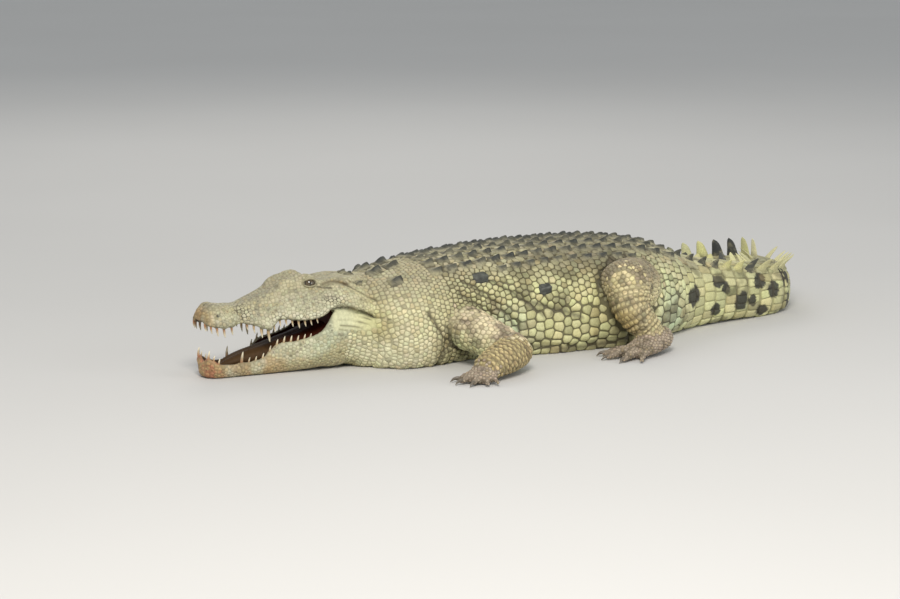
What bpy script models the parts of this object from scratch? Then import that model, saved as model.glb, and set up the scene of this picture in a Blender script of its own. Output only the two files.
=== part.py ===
"""A life-size Nile crocodile about three metres long, basking on its belly with its mouth open.

Metres, +Z up.  The trunk lies along X with the head towards -X and the left side towards -Y; the origin
is on the floor under the middle of the trunk.  Places along the body are given by s, the distance along
the back from the nape: the snout is at s = -HEAD_LENGTH, the tail tip at TAIL_TIP.
The body is lofted whole and parted with thin cuts; the limbs are rounded lofts cut clear of each other.
"""

import math

import bmesh
import bpy
import numpy as np

# ------------------------------------------------------------------ driving dimensions
HEAD_LENGTH = 0.427     # tip of the snout to the nape, behind the skull table
S_ORIGIN = 0.62         # the place along the body that stands over the origin
TAIL_TIP = 2.55         # end of the tail
CUT = 0.0004            # width of the thin cuts between pieces
PAST_END = 0.006        # how far a cutter runs on past both ends of its length of the body

# Direction of the backbone, from +X towards +Y in degrees, at places along the body.  The tail turns
# away to the right of the animal and comes back behind itself as a hook.
HEADING = [
    (-0.46, 1), (0.05, 1.5), (0.25, 6), (0.45, 4), (0.62, 0), (0.85, 2), (1.00, 7), (1.15, 6), (1.27, 6),
    (1.35, 16), (1.43, 46), (1.51, 60), (1.60, 63), (1.70, 82), (1.79, 114), (1.88, 133), (2.00, 139),
    (2.20, 146), (2.55, 128),
]

# s, half width, lowest, highest, height of the widest place, squareness of the back and of the belly
BODY = [
    (-0.085, 0.082, 0.036, 0.168, 0.105, 2.2, 2.3),
    (-0.060, 0.096, 0.020, 0.186, 0.104, 2.2, 2.4),
    (-0.030, 0.106, 0.004, 0.200, 0.100, 2.2, 2.8),
    (0.000, 0.120, -0.006, 0.214, 0.095, 2.2, 3.1),
    (0.030, 0.148, -0.014, 0.226, 0.084, 2.2, 3.4),
    (0.060, 0.176, -0.020, 0.236, 0.078, 2.1, 3.6),
    (0.095, 0.192, -0.022, 0.245, 0.076, 2.1, 3.8),
    (0.150, 0.193, -0.020, 0.254, 0.080, 2.2, 3.8),
    (0.220, 0.186, -0.020, 0.260, 0.092, 2.2, 3.6),
    (0.300, 0.187, -0.020, 0.265, 0.104, 2.3, 3.5),
    (0.420, 0.210, -0.022, 0.269, 0.104, 2.3, 3.8),
    (0.560, 0.226, -0.022, 0.272, 0.100, 2.3, 4.0),
    (0.720, 0.227, -0.022, 0.270, 0.098, 2.3, 4.0),
    (0.840, 0.207, -0.020, 0.260, 0.098, 2.3, 3.6),
    (0.940, 0.168, -0.016, 0.240, 0.100, 2.3, 3.0),
    (1.050, 0.122, -0.012, 0.200, 0.095, 2.3, 2.8),
    (1.180, 0.098, -0.008, 0.172, 0.086, 2.3, 3.0),
    (1.350, 0.078, -0.008, 0.146, 0.074, 2.3, 3.6),
    (1.520, 0.065, -0.007, 0.131, 0.065, 2.2, 3.6),
    (1.720, 0.050, -0.005, 0.110, 0.054, 2.0, 3.0),
    (1.960, 0.036, -0.004, 0.086, 0.042, 2.0, 2.3),
    (2.240, 0.021, -0.003, 0.058, 0.028, 2.0, 2.2),
    (2.480, 0.009, -0.002, 0.028, 0.013, 2.0, 2.2),
    (2.550, 0.004, 0.000, 0.013, 0.007, 2.0, 2.0),
]


def through(table, x):
    """Columns 1.. of the table at x, on a smooth curve that doesn't overshoot its rows."""
    rows = np.asarray(table, float)
    keys, values = rows[:, 0], rows[:, 1:]
    x = np.clip(np.atleast_1d(np.asarray(x, float)), keys[0], keys[-1])
    steps = np.diff(keys)[:, None]
    slopes = np.diff(values, axis=0) / steps
    before, after = slopes[:-1], slopes[1:]
    both = before + after
    inner = np.where(before * after > 0, 2 * before * after / np.where(both == 0, 1, both), 0)
    tangent = np.vstack([slopes[:1], inner, slopes[-1:]])
    i = np.clip(np.searchsorted(keys, x, side="right") - 1, 0, len(keys) - 2)
    h = steps[i]
    t = ((x - keys[i])[:, None]) / h
    return (
        (2 * t**3 - 3 * t**2 + 1) * values[i]
        + (t**3 - 2 * t**2 + t) * h * tangent[i]
        + (3 * t**2 - 2 * t**3) * values[i + 1]
        + (t**3 - t**2) * h * tangent[i + 1]
    )


def backbone(s):
    """x, y and heading of the backbone at each s."""
    grid = np.linspace(-0.46, 2.60, 3061)
    angle = np.radians(through(HEADING, grid)[:, 0])
    step = grid[1] - grid[0]
    x = np.concatenate([[0], np.cumsum((np.cos(angle[1:]) + np.cos(angle[:-1])) * step / 2)])
    y = np.concatenate([[0], np.cumsum((np.sin(angle[1:]) + np.sin(angle[:-1])) * step / 2)])
    x -= np.interp(S_ORIGIN, grid, x)
    y -= np.interp(S_ORIGIN, grid, y)
    return np.interp(s, grid, x), np.interp(s, grid, y), np.interp(s, grid, angle)


def place(s, across, z):
    """World points from places along the body, distances to the animal's left, and heights."""
    x, y, heading = backbone(s)
    return np.stack([x + across * np.sin(heading), y - across * np.cos(heading), z + 0 * x], axis=-1)


def body_ring(s, sides, grow=0.0):
    """Points round the body at s, from the belly up the left side, over the back and down the right."""
    half, low, high, wide, back, belly = through(BODY, s)[0]
    turn = np.arange(sides) / sides * 2 * math.pi - math.pi / 2
    across, up = np.cos(turn), np.sin(turn)
    power = np.where(up > 0, 2 / back, 2 / belly)
    rise = np.where(up > 0, high + grow - wide, wide - low + grow)
    y = (half + grow) * np.sign(across) * np.abs(across) ** power
    z = wide + rise * np.sign(up) * np.abs(up) ** power
    return place(np.full(sides, s), y, np.maximum(z, -grow))


def between(a, b, c, d, t):
    """A point of the smooth curve through a, b, c and d, at the share t of the way from b to c."""
    bend = (2 * a - 5 * b + 4 * c - d) * t**2 + (3 * b - a - 3 * c + d) * t**3
    return b + 0.5 * ((c - a) * t + bend)


def closed_curve(points, per_span):
    """A smooth closed curve through the points."""
    p = np.asarray(points, float)
    a, b, c, d = np.roll(p, 1, 0), p, np.roll(p, -1, 0), np.roll(p, -2, 0)
    made = []
    for t in np.arange(per_span) / per_span:
        made.append(between(a, b, c, d, t))
    return np.stack(made, axis=1).reshape(-1, 2)


def mirrored(half):
    """A closed outline from its left half, which runs from the middle below to the middle above."""
    return list(half) + [(-y, z) for y, z in reversed(half[1:-1])]


# from the snout's tip: half width at the lip, height of the lip, of the upper edge of the side, half width
# of the flat top, height of its crests, of its middle, and of the palate
UPPER_HEAD = [
    (0.000, 0.014, 0.145, 0.159, 0.010, 0.162, 0.162, 0.150),
    (0.008, 0.036, 0.138, 0.168, 0.022, 0.173, 0.172, 0.144),
    (0.020, 0.050, 0.134, 0.172, 0.032, 0.179, 0.177, 0.141),
    (0.039, 0.056, 0.132, 0.174, 0.036, 0.187, 0.184, 0.140),
    (0.069, 0.055, 0.129, 0.172, 0.034, 0.185, 0.183, 0.138),
    (0.102, 0.048, 0.135, 0.171, 0.031, 0.183, 0.182, 0.141),
    (0.134, 0.056, 0.129, 0.177, 0.036, 0.192, 0.191, 0.139),
    (0.171, 0.067, 0.119, 0.184, 0.042, 0.205, 0.202, 0.137),
    (0.198, 0.068, 0.139, 0.193, 0.045, 0.217, 0.209, 0.146),
    (0.216, 0.071, 0.139, 0.201, 0.047, 0.235, 0.213, 0.148),
    (0.236, 0.076, 0.136, 0.208, 0.049, 0.243, 0.217, 0.148),
    (0.260, 0.083, 0.134, 0.215, 0.051, 0.247, 0.220, 0.149),
    (0.284, 0.090, 0.136, 0.219, 0.054, 0.249, 0.223, 0.152),
    (0.310, 0.095, 0.141, 0.221, 0.057, 0.244, 0.225, 0.155),
    (0.336, 0.100, 0.158, 0.221, 0.059, 0.237, 0.228, 0.164),
    (0.366, 0.108, 0.162, 0.222, 0.062, 0.235, 0.230, 0.168),
    (0.396, 0.115, 0.155, 0.222, 0.064, 0.235, 0.232, 0.163),
    (0.424, 0.118, 0.143, 0.218, 0.063, 0.234, 0.232, 0.150),
    (0.448, 0.117, 0.134, 0.206, 0.058, 0.231, 0.231, 0.140),
    (0.470, 0.110, 0.128, 0.190, 0.050, 0.226, 0.230, 0.132),
]

# from the snout's tip: half width, lowest, height of the lip, half width inside, height of the mouth's floor
LOWER_JAW = [
    (0.010, 0.016, 0.012, 0.042, 0.006, 0.037),
    (0.018, 0.032, 0.002, 0.053, 0.013, 0.044),
    (0.030, 0.042, -0.002, 0.049, 0.023, 0.038),
    (0.047, 0.045, -0.003, 0.037, 0.028, 0.029),
    (0.084, 0.046, -0.004, 0.035, 0.030, 0.027),
    (0.126, 0.049, -0.004, 0.037, 0.034, 0.027),
    (0.160, 0.056, -0.002, 0.044, 0.041, 0.029),
    (0.182, 0.062, 0.000, 0.064, 0.046, 0.033),
    (0.202, 0.067, 0.001, 0.077, 0.050, 0.038),
    (0.236, 0.075, 0.003, 0.080, 0.058, 0.045),
    (0.274, 0.084, 0.005, 0.087, 0.066, 0.053),
    (0.306, 0.091, 0.007, 0.098, 0.073, 0.062),
    (0.326, 0.095, 0.009, 0.118, 0.077, 0.072),
    (0.344, 0.099, 0.008, 0.148, 0.081, 0.084),
    (0.372, 0.101, 0.009, 0.158, 0.082, 0.100),
    (0.400, 0.099, 0.016, 0.153, 0.070, 0.112),
]


def upper_ring(x, per_span, grow=0.0):
    """Points round the skull and upper jaw at x from the snout's tip."""
    lip, lip_z, edge_z, top, crest_z, middle_z, palate_z = through(UPPER_HEAD, x)[0]
    half = [
        (0, palate_z - grow),
        (0.62 * lip, palate_z - grow),
        (0.97 * lip + grow, lip_z - grow),
        (lip + grow, lip_z + 0.38 * (edge_z - lip_z)),
        (1.10 * top + grow, edge_z + grow),
        (0.70 * top, crest_z + grow),
        (0, middle_z + grow),
    ]
    outline = closed_curve(mirrored(half), per_span)
    return place(np.full(len(outline), x - HEAD_LENGTH), outline[:, 0], outline[:, 1])


def lower_ring(x, per_span, grow=0.0):
    """Points round the lower jaw at x from the snout's tip: an open trough."""
    half_width, low, lip_z, inside, floor_z = through(LOWER_JAW, x)[0]
    half = [
        (0, low - grow),
        (0.62 * half_width, low - grow),
        (half_width + grow, low + 0.42 * (lip_z - low)),
        (0.95 * half_width + grow, lip_z + grow),
        (inside, lip_z + grow),
        (0.88 * inside, floor_z + grow),
        (0, floor_z + grow),
    ]
    outline = closed_curve(mirrored(half), per_span)
    z = np.maximum(outline[:, 1], -grow)
    return place(np.full(len(outline), x - HEAD_LENGTH), outline[:, 0], z)


def loft(rings):
    """Vertices and faces of a closed loft through rings of equal count."""
    sides = len(rings[0])
    faces = [list(range(sides))[::-1], [sides * (len(rings) - 1) + k for k in range(sides)]]
    for i in range(len(rings) - 1):
        for k in range(sides):
            a, b = i * sides + k, i * sides + (k + 1) % sides
            faces += [[a, b, b + sides], [a, b + sides, a + sides]]
    points = np.concatenate(rings)
    middle = points.mean(axis=0)
    volume = 0.0
    for face in faces:
        a, b, c = (points[k] - middle for k in face[:3])
        volume += np.dot(a, np.cross(b, c)) * (len(face) - 2)
    return points, faces if volume > 0 else [face[::-1] for face in faces]


def smooth_path(points, per_span):
    """Points on a smooth open curve through the given ones, whose columns may hold more than a place."""
    p = np.asarray(points, float)
    p = np.vstack([2 * p[0] - p[1], p, 2 * p[-1] - p[-2]])
    made = []
    for a, b, c, d in zip(p[:-3], p[1:-2], p[2:-1], p[3:]):
        for t in np.arange(per_span) / per_span:
            made.append(between(a, b, c, d, t))
    return np.array(made + [p[-2]])


# how far out and how wide the rings of a round end are, and those of a toe's plainer end
ROUND_END = [(0.92, 0.40), (0.62, 0.78)]
BLUNT_END = [(0.70, 0.60)]


def limb(points, sides, per_span, grow=0.0, finish=ROUND_END):
    """A round-ended loft along points of (x, y, z, half width, half thickness), flattened on the floor."""
    path = smooth_path(points, per_span)
    centre, size = path[:, :3], path[:, 3:] + grow
    tangent = np.gradient(centre, axis=0)
    tangent /= np.linalg.norm(tangent, axis=1)[:, None]
    sections = list(zip(centre, tangent, size))
    for out, narrow in finish[::-1]:
        sections.insert(0, (centre[0] - tangent[0] * out * size[0].mean(), tangent[0], size[0] * narrow))
        sections.append((centre[-1] + tangent[-1] * out * size[-1].mean(), tangent[-1], size[-1] * narrow))
    turn = np.arange(sides) / sides * 2 * math.pi
    rings = []
    for place_at, forward, (wide, thick) in sections:
        up = np.array([0.0, 0.0, 1.0]) - forward * forward[2]
        up /= np.linalg.norm(up)
        side = np.cross(up, forward)
        ring = place_at + np.outer(np.cos(turn) * wide, side) + np.outer(np.sin(turn) * thick, up)
        ring[:, 2] = np.maximum(ring[:, 2], -grow)
        rings.append(ring)
    return loft(rings)


# ------------------------------------------------------------------ limbs of the left side
# Each row is x, y, z, half width, half thickness.  The right side is mirrored and stands a little apart.
UPPER_ARM = [(-0.375, -0.100, 0.108, 0.076, 0.068), (-0.350, -0.225, 0.090, 0.063, 0.056),
             (-0.306, -0.350, 0.054, 0.052, 0.047)]
FOREARM = [(-0.308, -0.362, 0.052, 0.050, 0.046), (-0.362, -0.402, 0.047, 0.049, 0.042),
           (-0.412, -0.426, 0.037, 0.045, 0.034)]
THIGH = [(0.215, -0.085, 0.135, 0.090, 0.085), (0.165, -0.165, 0.158, 0.086, 0.077),
         (0.112, -0.232, 0.178, 0.072, 0.062)]
SHANK = [(0.104, -0.246, 0.176, 0.060, 0.056), (0.104, -0.284, 0.110, 0.056, 0.049),
         (0.140, -0.306, 0.058, 0.046, 0.038)]
FORE_PALM = [(-0.418, -0.428, 0.030, 0.040, 0.026), (-0.455, -0.452, 0.018, 0.042, 0.017)]
HIND_PALM = [(0.168, -0.312, 0.038, 0.038, 0.033), (0.120, -0.336, 0.030, 0.044, 0.028),
             (0.068, -0.354, 0.018, 0.046, 0.017)]
# spread in degrees from the palm's direction, length, half width, and whether the toe has a claw
FORE_TOES = [(-52, 0.046, 0.010, True), (-25, 0.056, 0.010, True), (2, 0.058, 0.010, True),
             (28, 0.052, 0.009, False), (54, 0.044, 0.008, False)]
HIND_TOES = [(-44, 0.078, 0.012, True), (-17, 0.092, 0.012, True), (9, 0.092, 0.012, True),
             (34, 0.078, 0.010, False)]
CLAW_LENGTH = 0.018
RIGHT_SHIFT = {"fore": 0.035, "hind": -0.030}  # how far the right feet stand behind the left ones


def toe_points(palm, spread, length, half):
    """The path of one toe: out of the palm's end, over a low knuckle and down to the floor."""
    root, end = np.array(palm[-2][:2]), np.array(palm[-1][:2])
    ahead = (end - root) / np.linalg.norm(end - root)
    a = math.radians(spread)
    direction = np.array([ahead[0] * math.cos(a) - ahead[1] * math.sin(a),
                          ahead[0] * math.sin(a) + ahead[1] * math.cos(a)])
    side = np.array([-ahead[1], ahead[0]]) * math.sin(a)
    start = end - ahead * 0.012 + side * palm[-1][3] * 0.62
    rows = []
    for share, z, scale in ((0.0, 0.014, 1.05), (0.45, 0.017, 1.1), (1.0, 0.008, 0.72)):
        x, y = start + direction * length * share
        rows.append((x, y, z, half * scale, half * scale * 0.95))
    return rows, direction


def claw_points(toe, direction):
    """The path of the claw at the end of a toe."""
    x, y = toe[-1][:2]
    rows = []
    for out, z, half in ((-0.35, 0.009, 0.0050), (0.40, 0.009, 0.0040), (1.0, 0.002, 0.001)):
        along = direction * CLAW_LENGTH * out
        rows.append((x + along[0], y + along[1], z, half, half))
    return rows


def on_side(points, side, shift):
    """The points on the left as they are, or mirrored to the right and moved along the body."""
    if side == "left":
        return points
    return [(x + shift * min(1.0, abs(y) / 0.25), -y, *rest) for x, y, *rest in points]


# ------------------------------------------------------------------ crests of the tail
CRESTS_FROM, DOUBLE_TO, CRESTS_TO = 1.00, 1.68, 2.49
CREST_PITCH = 1.15       # spacing of the crests over the length of their feet
CREST_SUNK = 0.012       # how far a crest's foot is sunk in the tail
CREST_THICK = 0.0075     # half its thickness at the foot
CREST_THINS = 0.0015     # how much of that the single crests lose over a metre
CREST_EDGE = 0.0012      # half its thickness at the top
CREST_BACK = 0.28        # how far back its top stands, as a share of the foot's length
CREST_TOP = 0.44         # share of the foot's length that the top has
CREST_CLEAR = (0.010, 0.016)  # how far a crest's middle stays from the start and the end of its length
# s, height, length at the foot, share of the half width at which a paired crest stands, and outward lean
CREST = [(1.00, 0.014, 0.040, 0.46, 0.45), (1.14, 0.018, 0.040, 0.62, 0.45), (1.23, 0.024, 0.040, 0.66, 0.55),
         (1.29, 0.032, 0.040, 0.66, 0.75), (1.42, 0.030, 0.040, 0.66, 1.10), (1.58, 0.030, 0.040, 0.66, 1.10),
         (1.66, 0.032, 0.040, 0.35, 1.10), (1.70, 0.054, 0.043, 0.0, 0.0), (1.80, 0.051, 0.042, 0.0, 0.0),
         (1.90, 0.043, 0.040, 0.0, 0.0), (1.955, 0.039, 0.038, 0.0, 0.0), (2.005, 0.020, 0.037, 0.0, 0.0),
         (2.50, 0.008, 0.026, 0.0, 0.0)]


def crests():
    """s, distance to the left, height, length at the foot and outward lean of each crest on the tail."""
    made = []
    s = CRESTS_FROM
    while s < CRESTS_TO:
        tall, foot, share, lean = through(CREST, s)[0]
        across = share * through(BODY, s)[0, 0]
        if s < DOUBLE_TO:
            made += [(s, across, tall, foot, lean), (s, -across, tall, foot, -lean)]
        else:
            made.append((s, 0.0, tall, foot, 0.0))
        s += CREST_PITCH * foot
    return made


def between_crests(s):
    """The place near s where a cut clears the crests before and behind it."""
    rows = sorted({c[0] for c in crests()})
    after = next(row for row in rows if row > s)
    before = rows[rows.index(after) - 1]
    return (before + after) / 2


def surface_height(s, across):
    """Height of the back at s and a distance to the left."""
    half, _, high, wide, back, _ = through(BODY, s)[0]
    reach = min(0.999, abs(across) / half)
    return wide + (high - wide) * (1 - reach**back) ** (1 / back)


def crest_blade(s, across, tall, foot, lean):
    """A thin blade that leans back and outward, with its foot sunk in the tail."""
    thick = CREST_THICK - CREST_THINS * max(0.0, s - DOUBLE_TO)
    base = surface_height(s, across) - CREST_SUNK
    top = surface_height(s, across) + tall
    back, out = foot * CREST_BACK, across + lean * tall
    corners = [(-0.5, -1), (-0.5, 1), (0.5, 1), (0.5, -1)]
    low = [place(s + foot * a, across + thick * b, base) for a, b in corners]
    high = [place(s + back + foot * CREST_TOP * a, out + CREST_EDGE * b, top) for a, b in corners]
    return loft([np.array(low).reshape(4, 3), np.array(high).reshape(4, 3)])


# ------------------------------------------------------------------ teeth
# Places from the snout's tip and heights of the crowns, from front to back
UPPER_TEETH = [(0.008, 0.014), (0.019, 0.016), (0.033, 0.022), (0.052, 0.025), (0.074, 0.018),
               (0.118, 0.014), (0.135, 0.018), (0.153, 0.026), (0.171, 0.034), (0.187, 0.020),
               (0.203, 0.016), (0.219, 0.015), (0.235, 0.016), (0.251, 0.018), (0.267, 0.015),
               (0.282, 0.013), (0.298, 0.011)]
LOWER_TEETH = [(0.018, 0.024), (0.029, 0.014), (0.042, 0.016), (0.104, 0.032), (0.124, 0.013),
               (0.142, 0.014), (0.160, 0.016), (0.178, 0.017), (0.196, 0.018), (0.214, 0.022),
               (0.232, 0.022), (0.250, 0.018), (0.267, 0.016), (0.283, 0.013)]
TOOTH_SIDES = 3
TOOTH_TIP = 0.0007       # half width of a tooth's blunt tip
TOOTH_SUNK = 0.007       # how far its root reaches into the gum
# share of the lip's half width at which the roots stand, their height above the lip, outward lean, and way
TOOTH_ROWS = {"upper": (0.88, 0.006, 0.10, -1), "lower": (0.84, -0.008, 0.16, 1)}


def tooth(root, tip, half):
    """A narrow blunt-tipped spike from root to tip."""
    turn = np.arange(TOOTH_SIDES) / TOOTH_SIDES * 2 * math.pi
    outline = np.stack([np.cos(turn), np.sin(turn), 0 * turn], axis=1)
    return loft([root + outline * half, tip + outline * TOOTH_TIP])


def teeth_of(jaw):
    """The teeth of both sides of the upper or the lower jaw."""
    made = []
    share, above, lean, way = TOOTH_ROWS[jaw]
    for x, height in UPPER_TEETH if jaw == "upper" else LOWER_TEETH:
        if jaw == "upper":
            lip, lip_z = through(UPPER_HEAD, x)[0][:2]
        else:
            lip, _, lip_z = through(LOWER_JAW, x)[0][:3]
        s = x - HEAD_LENGTH
        z = lip_z + above
        for side in (1, -1):
            root = place(s, side * share * lip, z).ravel()
            out = side * (share * lip + lean * height)
            tip = place(s + 0.003, out, z + way * (height + TOOTH_SUNK)).ravel()
            made.append(tooth(root, tip, 0.0026 + 0.12 * height))
    return made


# ------------------------------------------------------------------ Blender objects
def new_material(name, colour, roughness):
    material = bpy.data.materials.new(name)
    material.use_nodes = True
    shader = material.node_tree.nodes["Principled BSDF"]
    shader.inputs["Base Color"].default_value = (*colour, 1)
    shader.inputs["Roughness"].default_value = roughness
    shader.inputs["Metallic"].default_value = 0.0
    return material


def solid(name, shape, material=None):
    """A mesh object from vertices and faces, which becomes a node unless its name starts with cut_."""
    mesh = bpy.data.meshes.new(name)
    mesh.from_pydata([tuple(map(float, v)) for v in shape[0]], [], shape[1])
    mesh.update()
    made = bpy.data.objects.new(name, mesh)
    bpy.context.scene.collection.objects.link(made)
    if material:
        mesh.materials.append(material)
        mesh.shade_smooth()
        mesh.set_sharp_from_angle(angle=math.radians(35))
    return made


def combined(target, operation, shapes):
    """Joins the shapes to target, or cuts them from it, and keeps the result as target's own mesh."""
    group = bpy.data.collections.new("tools")
    tools = [solid("cut_tool", shape) for shape in shapes]
    for tool in tools:
        group.objects.link(tool)
    modifier = target.modifiers.new("combine", "BOOLEAN")
    modifier.operand_type = "COLLECTION"
    modifier.collection = group
    modifier.operation = operation
    modifier.solver = "EXACT"
    bpy.context.view_layer.update()
    evaluated = target.evaluated_get(bpy.context.evaluated_depsgraph_get())
    mesh = bpy.data.meshes.new_from_object(evaluated)
    target.modifiers.clear()
    target.data = mesh
    for tool in tools:
        bpy.data.objects.remove(tool)
    bpy.data.collections.remove(group)
    return target


def keep_largest(target):
    """Drops the slivers that a cut leaves beside the main body."""
    work = bmesh.new()
    work.from_mesh(target.data)
    left, bodies = set(work.faces), []
    while left:
        front = [left.pop()]
        body = set(front)
        while front:
            near = {f for e in front.pop().edges for f in e.link_faces} & left
            left -= near
            body |= near
            front += near
        bodies.append(body)
    bodies.sort(key=len)
    small = [f for body in bodies[:-1] for f in body]
    bmesh.ops.delete(work, geom=small, context="FACES")
    work.to_mesh(target.data)
    work.free()


def body_length(start, end, steps, sides, grow=0.0, over=0.0):
    """A length of the body's loft, which a cutter carries on a little past both ends."""
    places = list(np.linspace(start, end, steps))
    if over:
        places = [start - over] + places + [end + over]
    return loft([body_ring(s, sides, grow) for s in places])


# from the snout's tip: half width, lowest and highest of the tongue
TONGUE = [(0.059, 0.010, 0.025, 0.034), (0.079, 0.022, 0.022, 0.044), (0.114, 0.031, 0.022, 0.057),
          (0.159, 0.038, 0.024, 0.068), (0.209, 0.047, 0.030, 0.080), (0.264, 0.058, 0.040, 0.092),
          (0.314, 0.066, 0.050, 0.108), (0.350, 0.068, 0.066, 0.126)]


def tongue_shape():
    """A plump flat-topped tongue that rises towards the throat."""
    rings = []
    turn = np.arange(10) / 10 * 2 * math.pi
    for x, half, low, high in TONGUE:
        across = half * np.sign(np.cos(turn)) * np.abs(np.cos(turn)) ** 0.8
        z = (low + high) / 2 + (high - low) / 2 * np.sin(turn)
        rings.append(place(np.full(10, x - HEAD_LENGTH), across, z))
    return loft(rings)


def upper_head(grow=0.0):
    """The skull and upper jaw as one loft."""
    stations = [row[0] for row in UPPER_HEAD]
    return loft([upper_ring(x, 2, grow) for x in stations])


def sphere(centre, radius):
    """A round eye as rings about the axis across the head."""
    rings = []
    for polar in np.radians(np.linspace(14, 166, 6)):
        turn = np.arange(8) / 8 * 2 * math.pi
        rings.append(np.stack([
            centre[0] + radius * np.sin(polar) * np.cos(turn),
            centre[1] + radius * np.sin(polar) * np.sin(turn),
            centre[2] - radius * np.cos(polar) + 0 * turn], 1))
    return loft(rings)


# where each length of the body starts and ends, how many rings it has and how many sides
THROAT = (-0.085, 0.05 - CUT / 2, 5, 18)  # the length of throat that belongs to the head
TAIL_CUTS = [between_crests(s) for s in (1.25, 1.48, 1.72, 2.08)]
LENGTHS = {
    "neck": (0.05 + CUT / 2, 0.19 - CUT / 2, 4, 18),
    "trunk": (0.19 + CUT / 2, 0.98 - CUT / 2, 10, 18),
    "tail_1": (0.98 + CUT / 2, TAIL_CUTS[0] - CUT / 2, 5, 14),
    "tail_2": (TAIL_CUTS[0] + CUT / 2, TAIL_CUTS[1] - CUT / 2, 5, 14),
    "tail_3": (TAIL_CUTS[1] + CUT / 2, TAIL_CUTS[2] - CUT / 2, 6, 14),
    "tail_4": (TAIL_CUTS[2] + CUT / 2, TAIL_CUTS[3] - CUT / 2, 7, 12),
    "tail_5": (TAIL_CUTS[3] + CUT / 2, TAIL_TIP, 7, 10),
}
EYE_X, EYE_ACROSS, EYE_Z, EYE_RADIUS = 0.293, 0.047, 0.2235, 0.0180


def build():
    for old in list(bpy.data.objects):
        bpy.data.objects.remove(old)
    skin = new_material("skin", (0.52, 0.50, 0.29), 0.62)
    lining = new_material("mouth_lining", (0.20, 0.13, 0.08), 0.45)
    eye = new_material("eye", (0.10, 0.09, 0.03), 0.12)

    # head: skull and upper jaw, joined to the throat behind the mouth, with its teeth and eye sockets
    head = solid("head", upper_head(), skin)
    eyes = {
        "left": place(EYE_X - HEAD_LENGTH, EYE_ACROSS, EYE_Z).ravel(),
        "right": place(EYE_X - HEAD_LENGTH, -EYE_ACROSS, EYE_Z).ravel(),
    }
    combined(head, "UNION", [body_length(*THROAT)])
    combined(head, "UNION", teeth_of("upper"))
    combined(head, "DIFFERENCE", [sphere(centre, EYE_RADIUS + CUT) for centre in eyes.values()])
    for side, centre in eyes.items():
        solid("eye_" + side, sphere(centre, EYE_RADIUS), eye)

    jaw = solid("lower_jaw", loft([lower_ring(row[0], 1) for row in LOWER_JAW]), skin)
    combined(jaw, "UNION", teeth_of("lower"))
    combined(jaw, "DIFFERENCE", [body_length(*THROAT, CUT, PAST_END), upper_head(CUT)])
    keep_largest(jaw)

    tongue = solid("tongue", tongue_shape(), lining)
    combined(tongue, "DIFFERENCE", [loft([lower_ring(row[0], 1, CUT) for row in LOWER_JAW])])
    combined(tongue, "DIFFERENCE", [body_length(*THROAT, CUT, PAST_END)])
    keep_largest(tongue)

    # neck, trunk and the lengths of the tail, each tail length with its crests
    for name, (start, end, steps, sides) in LENGTHS.items():
        piece = solid(name, body_length(start, end, steps, sides), skin)
        if name.startswith("tail"):
            inside = [c for c in crests() if start + CREST_CLEAR[0] < c[0] < end - CREST_CLEAR[1]]
            combined(piece, "UNION", [crest_blade(*c) for c in inside])

    for side in ("left", "right"):
        build_limb(side, "fore", skin)
        build_limb(side, "hind", skin)


def foot_shapes(palm, toes, side, shift):
    """The palm of a foot, and its toes with their claws, as lofts."""
    made = []
    for spread, length, half, clawed in toes:
        rows, direction = toe_points(palm, spread, length, half)
        made.append(limb(on_side(rows, side, shift), 5, 1, finish=BLUNT_END))
        if clawed:
            made.append(limb(on_side(claw_points(rows, direction), side, shift), 4, 1, finish=[]))
    return limb(on_side(palm, side, shift), 8, 1), made


def build_limb(side, which, skin):
    """The two lengths of a leg and its foot, each cut clear of the one nearer the body."""
    shift = 0.0 if side == "left" else RIGHT_SHIFT[which]
    if which == "fore":
        rows, palm, toes = (UPPER_ARM, FOREARM), FORE_PALM, FORE_TOES
        names = ("upper_arm_", "forearm_", "forefoot_")
    else:
        rows, palm, toes = (THIGH, SHANK), HIND_PALM, HIND_TOES
        names = ("thigh_", "shank_", "hindfoot_")
    upper, lower = (on_side(r, side, shift) for r in rows)
    body = [body_length(*LENGTHS[name], CUT, PAST_END) for name in ("neck", "trunk", "tail_1")]
    first = solid(names[0] + side, limb(upper, 10, 2), skin)
    combined(first, "DIFFERENCE", body)
    keep_largest(first)
    second = solid(names[1] + side, limb(lower, 10, 2), skin)
    combined(second, "DIFFERENCE", [limb(upper, 10, 2, CUT)])
    combined(second, "DIFFERENCE", body)
    keep_largest(second)
    pad, digits = foot_shapes(palm, toes, side, shift)
    foot = solid(names[2] + side, pad, skin)
    combined(foot, "UNION", digits)
    combined(foot, "DIFFERENCE", [limb(lower, 10, 2, CUT)])
    keep_largest(foot)


build()
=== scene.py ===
"""The looks of a life-size Nile crocodile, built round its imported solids.

Metres, +Z up, in the frame of the solids.  One skin is grown from the same sections as the solids, a little
inside them, and carries the folds, lids and lips.  Separate scales lie over it: small plates whose outlines
are shared out between neighbours, keeled shields along the neck and back, and the crests of the tail.
A place on the body is given by s, the distance along the back from the nape, and by down, which runs from 0
on the middle of the back to 1 under the belly.  A place on the head is given by x, the distance behind the
tip of the snout.  Distances across are positive on the animal's left.
"""

import math
from collections import namedtuple

import bmesh
import bpy
import numpy as np
from mathutils import Matrix, Vector
from mathutils.bvhtree import BVHTree
from mathutils.kdtree import KDTree


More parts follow.
